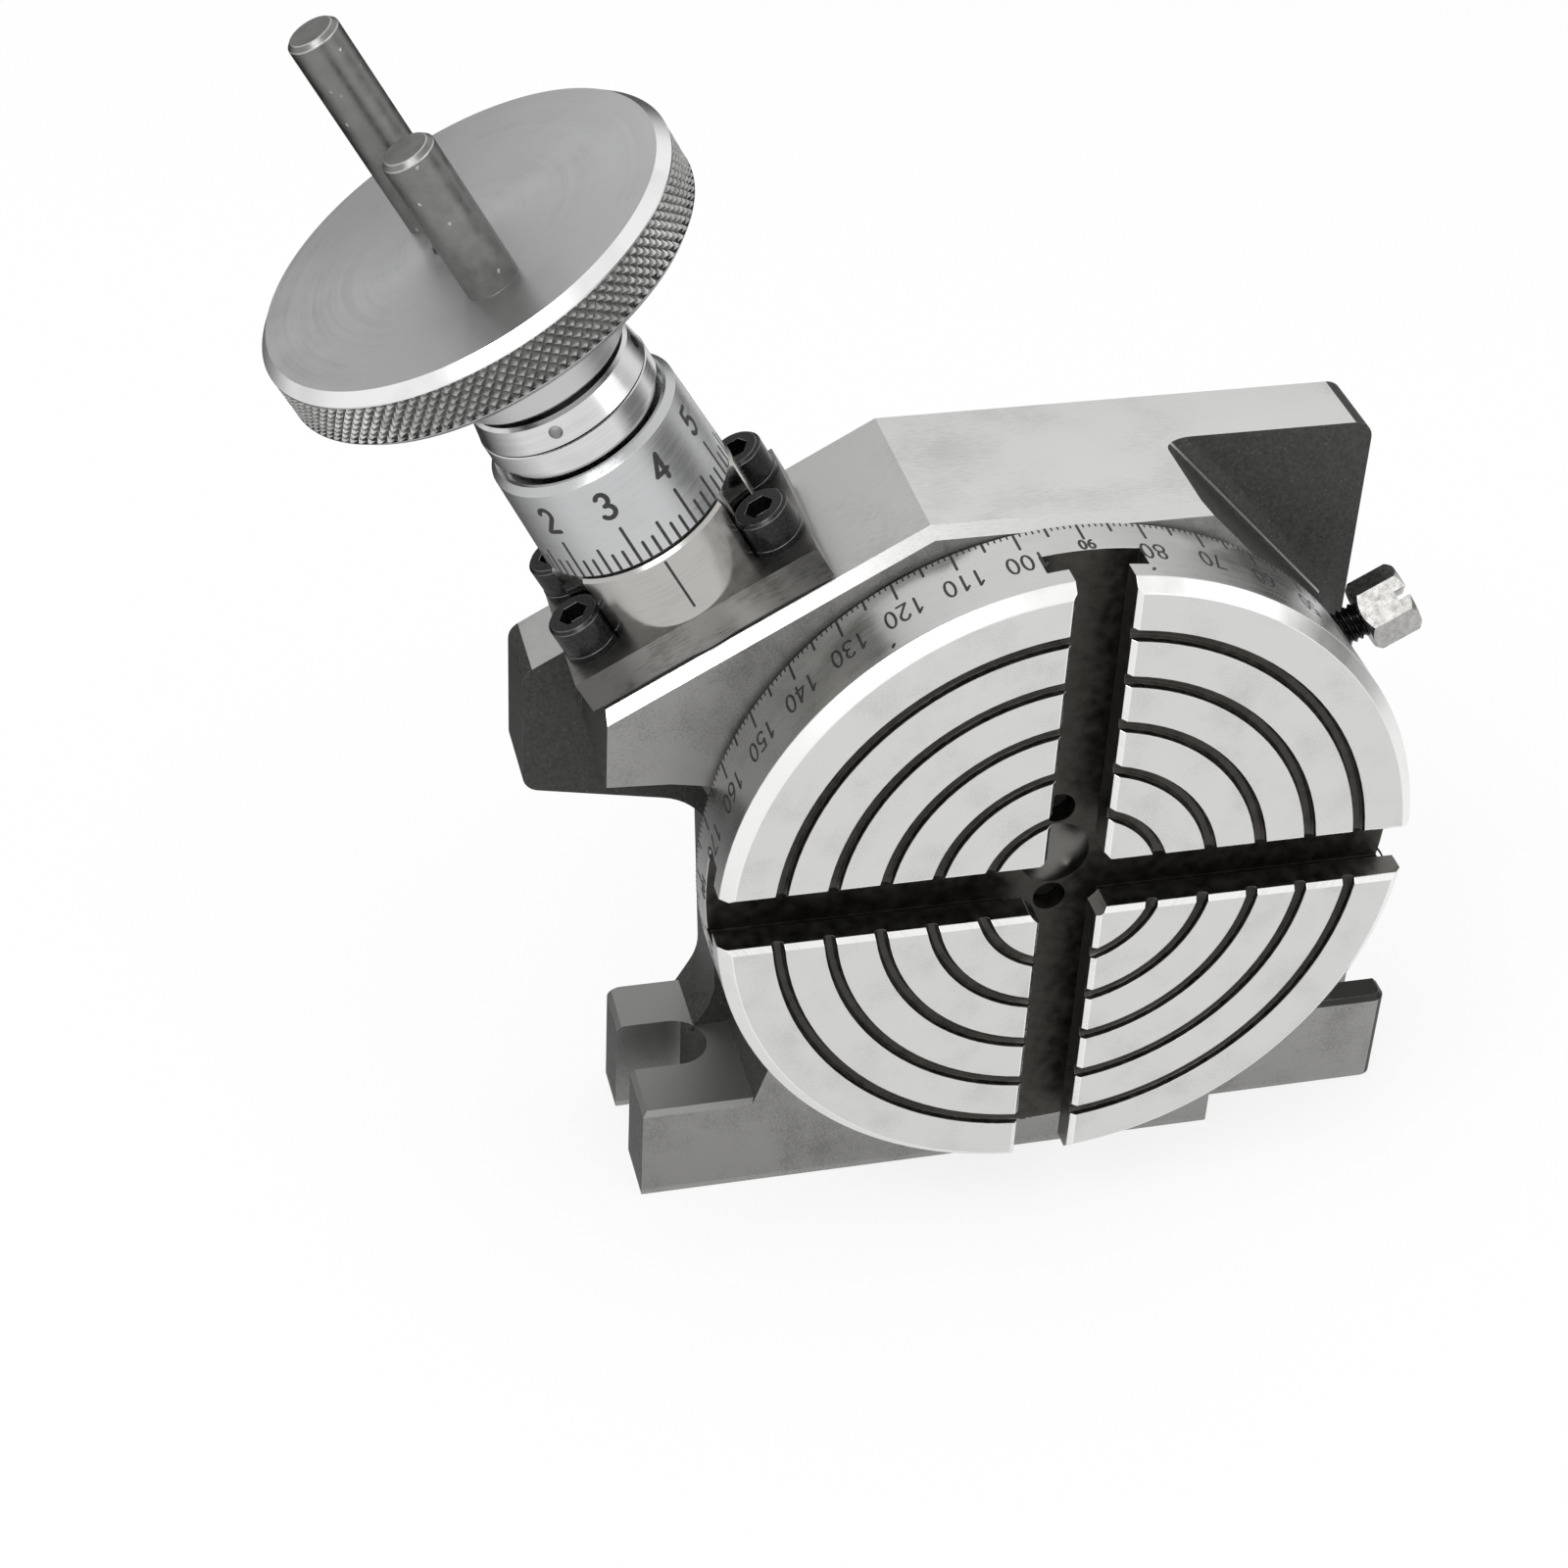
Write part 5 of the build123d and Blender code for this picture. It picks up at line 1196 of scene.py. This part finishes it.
lock_head = own_copy("lock_head", "lock_screw", lock_place, dissolve=False)
head_shape = bmesh.new()
head_shape.from_mesh(lock_head.data)
lock_top = max(vertex.co.z for vertex in head_shape.verts)
lock_bottom = min(vertex.co.z for vertex in head_shape.verts)
head_start = lock_top - LOCK_HEAD_LENGTH
everything = head_shape.verts[:] + head_shape.edges[:] + head_shape.faces[:]
under_head = (0, 0, head_start - CUT_ROOM)
bmesh.ops.bisect_plane(
    head_shape, geom=everything, plane_co=under_head, plane_no=(0, 0, 1), clear_inner=True
)
rim_of_cut = [edge for edge in head_shape.edges if edge.is_boundary]
bmesh.ops.holes_fill(head_shape, edges=rim_of_cut, sides=0)
bmesh.ops.dissolve_limit(
    head_shape, angle_limit=FLAT_ANGLE, verts=head_shape.verts, edges=head_shape.edges
)
head_shape.to_mesh(lock_head.data)
head_shape.free()
lock_head.data.shade_smooth()
lock_head.data.set_sharp_from_angle(angle=LOCK_HEAD_SHARP)
lock_head.data.materials.append(zinc_plate())
soften_edges(lock_head, LOCK_HEAD_EDGE, finish=plain_metal("plated_edge", (0.88, 0.88, 0.87), 0.22))

thread = bmesh.new()
thread_rows = int((head_start - lock_bottom) / THREAD_PITCH * ROWS_TO_PITCH)
grid = []
for row in range(thread_rows + 1):
    height = lock_bottom + (head_start + THREAD_ENTRY - lock_bottom) * row / thread_rows
    ring = []
    for step in range(THREAD_SIDES):
        phase = (height / THREAD_PITCH + step / THREAD_SIDES) % 1.0
        flank = (1 + THREAD_CREST) * (1 - abs(2 * phase - 1)) - THREAD_CREST
        cut_in = THREAD_DEPTH * max(0.0, flank)
        turn = -2 * math.pi * step / THREAD_SIDES
        radius = THREAD_RADIUS - cut_in
        ring.append(thread.verts.new((radius * math.cos(turn), radius * math.sin(turn), height)))
    grid.append(ring)
for low, high in zip(grid, grid[1:]):
    for step in range(THREAD_SIDES):
        after = (step + 1) % THREAD_SIDES
        thread.faces.new((low[step], low[after], high[after], high[step]))
thread.faces.new(grid[0])
thread.faces.new(grid[-1][::-1])
thread = piece_from(thread, "lock_thread", lock_place, THREAD_SHARP)
thread.data.materials.append(plain_metal("black_thread", (0.05, 0.05, 0.05), 0.3))
settle(lock_head, "lock_screw", "lock_screw")
settle(thread, "lock_screw", "lock_screw")


# The studio: a pale floor and sky that stay white to the camera and in bright metal, two large soft
# lights, and soft dark cards that the metal mirrors, so that its edges and rounds are drawn.
FLOOR_SIZE = 6.0
FLOOR_DROP = 0.2 * MM
FLOOR_GLOW = 0.8
SKY_LIGHT = 0.85
OBJECT_MIDDLE = Vector((-0.02, -0.01, 0.085))
CARD_SOFT_FROM = 0.35


def flat_sheet(name, width, height, drop=0.0):
    """A plain flat rectangle about its own middle."""
    mesh = bpy.data.meshes.new(name)
    sides = [(-1, -1), (1, -1), (1, 1), (-1, 1)]
    mesh.from_pydata([(x * width / 2, y * height / 2, -drop) for x, y in sides], [], [(0, 1, 2, 3)])
    sheet = bpy.data.objects.new(name, mesh)
    bpy.context.scene.collection.objects.link(sheet)
    return sheet


floor = flat_sheet("floor", FLOOR_SIZE, FLOOR_SIZE, FLOOR_DROP)


def seen_directly(material):
    """1 for the camera and for what bright metal shows, 0 for the light that falls on things."""
    path = add(material, "LightPath").outputs
    either = {0: path["Is Camera Ray"], 1: path["Is Glossy Ray"]}
    seen = add(material, "Math", either, operation="MAXIMUM").outputs[0]
    through = {0: seen, 1: path["Is Transmission Ray"]}
    return add(material, "Math", through, operation="MAXIMUM").outputs[0]


pale_floor = bpy.data.materials.new("pale_floor")
pale_floor.use_nodes = True
pale_floor.node_tree.nodes.clear()
paint = add(pale_floor, "BsdfDiffuse", {"Color": (0.95, 0.95, 0.95, 1)})
glow = add(pale_floor, "Emission", {"Color": (1, 1, 1, 1), "Strength": 1.0})
glowing = add(pale_floor, "Math", {0: seen_directly(pale_floor), 1: FLOOR_GLOW}, operation="MULTIPLY")
floor_mix = add(pale_floor, "MixShader", {0: glowing.outputs[0], 1: paint.outputs[0], 2: glow.outputs[0]})
add(pale_floor, "OutputMaterial", {"Surface": floor_mix.outputs[0]})
floor.data.materials.append(pale_floor)

world = bpy.data.worlds.new("studio")
bpy.context.scene.world = world
world.use_nodes = True
world.node_tree.nodes.clear()
white = add(world, "Background", {"Color": (1, 1, 1, 1), "Strength": 1.0})
soft = add(world, "Background", {"Color": (1, 1, 1, 1), "Strength": SKY_LIGHT})
sky = add(world, "MixShader", {0: seen_directly(world), 1: soft.outputs[0], 2: white.outputs[0]})
add(world, "OutputWorld", {"Surface": sky.outputs[0]})


def soft_light(name, place, size, power):
    """A large soft light aimed at the middle of the object."""
    lamp = bpy.data.lights.new(name, "AREA")
    lamp.shape = "DISK"
    lamp.size = size
    lamp.energy = power
    holder = bpy.data.objects.new(name, lamp)
    bpy.context.scene.collection.objects.link(holder)
    holder.location = place
    holder.rotation_euler = (OBJECT_MIDDLE - Vector(place)).to_track_quat("-Z", "Y").to_euler()


soft_light("key_light", (-0.7, -0.6, 1.1), size=0.7, power=6.0)
soft_light("fill_light", (0.9, -0.7, 0.5), size=0.8, power=2.0)


def dark_card(name, place, width, height, look_at, strength):
    """A soft-edged black card that the metal mirrors, out of the camera's sight."""
    card = flat_sheet(name, width, height)
    card.location = place
    card.rotation_euler = (Vector(look_at) - Vector(place)).to_track_quat("Z", "Y").to_euler()
    card.visible_camera = False
    card.visible_shadow = False
    card.visible_diffuse = False
    black = bpy.data.materials.new(name + "_felt")
    black.use_nodes = True
    black.node_tree.nodes.clear()
    coordinates = add(black, "TexCoord").outputs["Object"]
    scaled = add(black, "VectorMath", {0: coordinates, 1: (2 / width, 2 / height, 1)}, operation="MULTIPLY")
    distance = add(black, "VectorMath", {0: scaled.outputs[0]}, operation="LENGTH").outputs[1]
    share = between(black, distance, strength, 0.0, CARD_SOFT_FROM, 1.0)
    felt = add(black, "BsdfDiffuse", {"Color": (0.02, 0.02, 0.02, 1)})
    clear = add(black, "BsdfTransparent")
    mixed = add(black, "MixShader", {0: share, 1: clear.outputs[0], 2: felt.outputs[0]})
    add(black, "OutputMaterial", {"Surface": mixed.outputs[0]})
    card.data.materials.append(black)


dark_card("low_back_card", (0.0, 0.50, 0.08), 3.2, 0.80, look_at=(0.0, 0.0, 0.08), strength=0.95)
dark_card("floor_card", (-0.25, 0.22, 0.001), 1.0, 0.62, look_at=(-0.25, 0.22, 1.0), strength=0.97)
dark_card("right_card", (0.60, -0.20, 0.15), 0.9, 0.5, look_at=(0.0, 0.0, 0.12), strength=0.8)


# The camera stands before the machine, to its left and above it, and looks down at it through a long
# lens. It is rolled a little, so that the foot runs upwards to the right.
CAMERA_PLACE = Vector((-0.1456, -0.3961, 0.3678))
CAMERA_LOOK = Vector((0.2136, 0.7793, -0.5891))
CAMERA_UP = Vector((0.1030, 0.5817, 0.8068))
CAMERA_LENS = 74.2
CAMERA_SENSOR = 36.0
camera_right = CAMERA_LOOK.cross(CAMERA_UP).normalized()
camera_data = bpy.data.cameras.new("camera")
camera_data.lens = CAMERA_LENS
camera_data.sensor_width = CAMERA_SENSOR
camera = bpy.data.objects.new("camera", camera_data)
bpy.context.scene.collection.objects.link(camera)
camera.matrix_world = place_at(CAMERA_PLACE, camera_right, -CAMERA_LOOK.normalized())
bpy.context.scene.camera = camera
bpy.context.scene.view_settings.view_transform = "Standard"
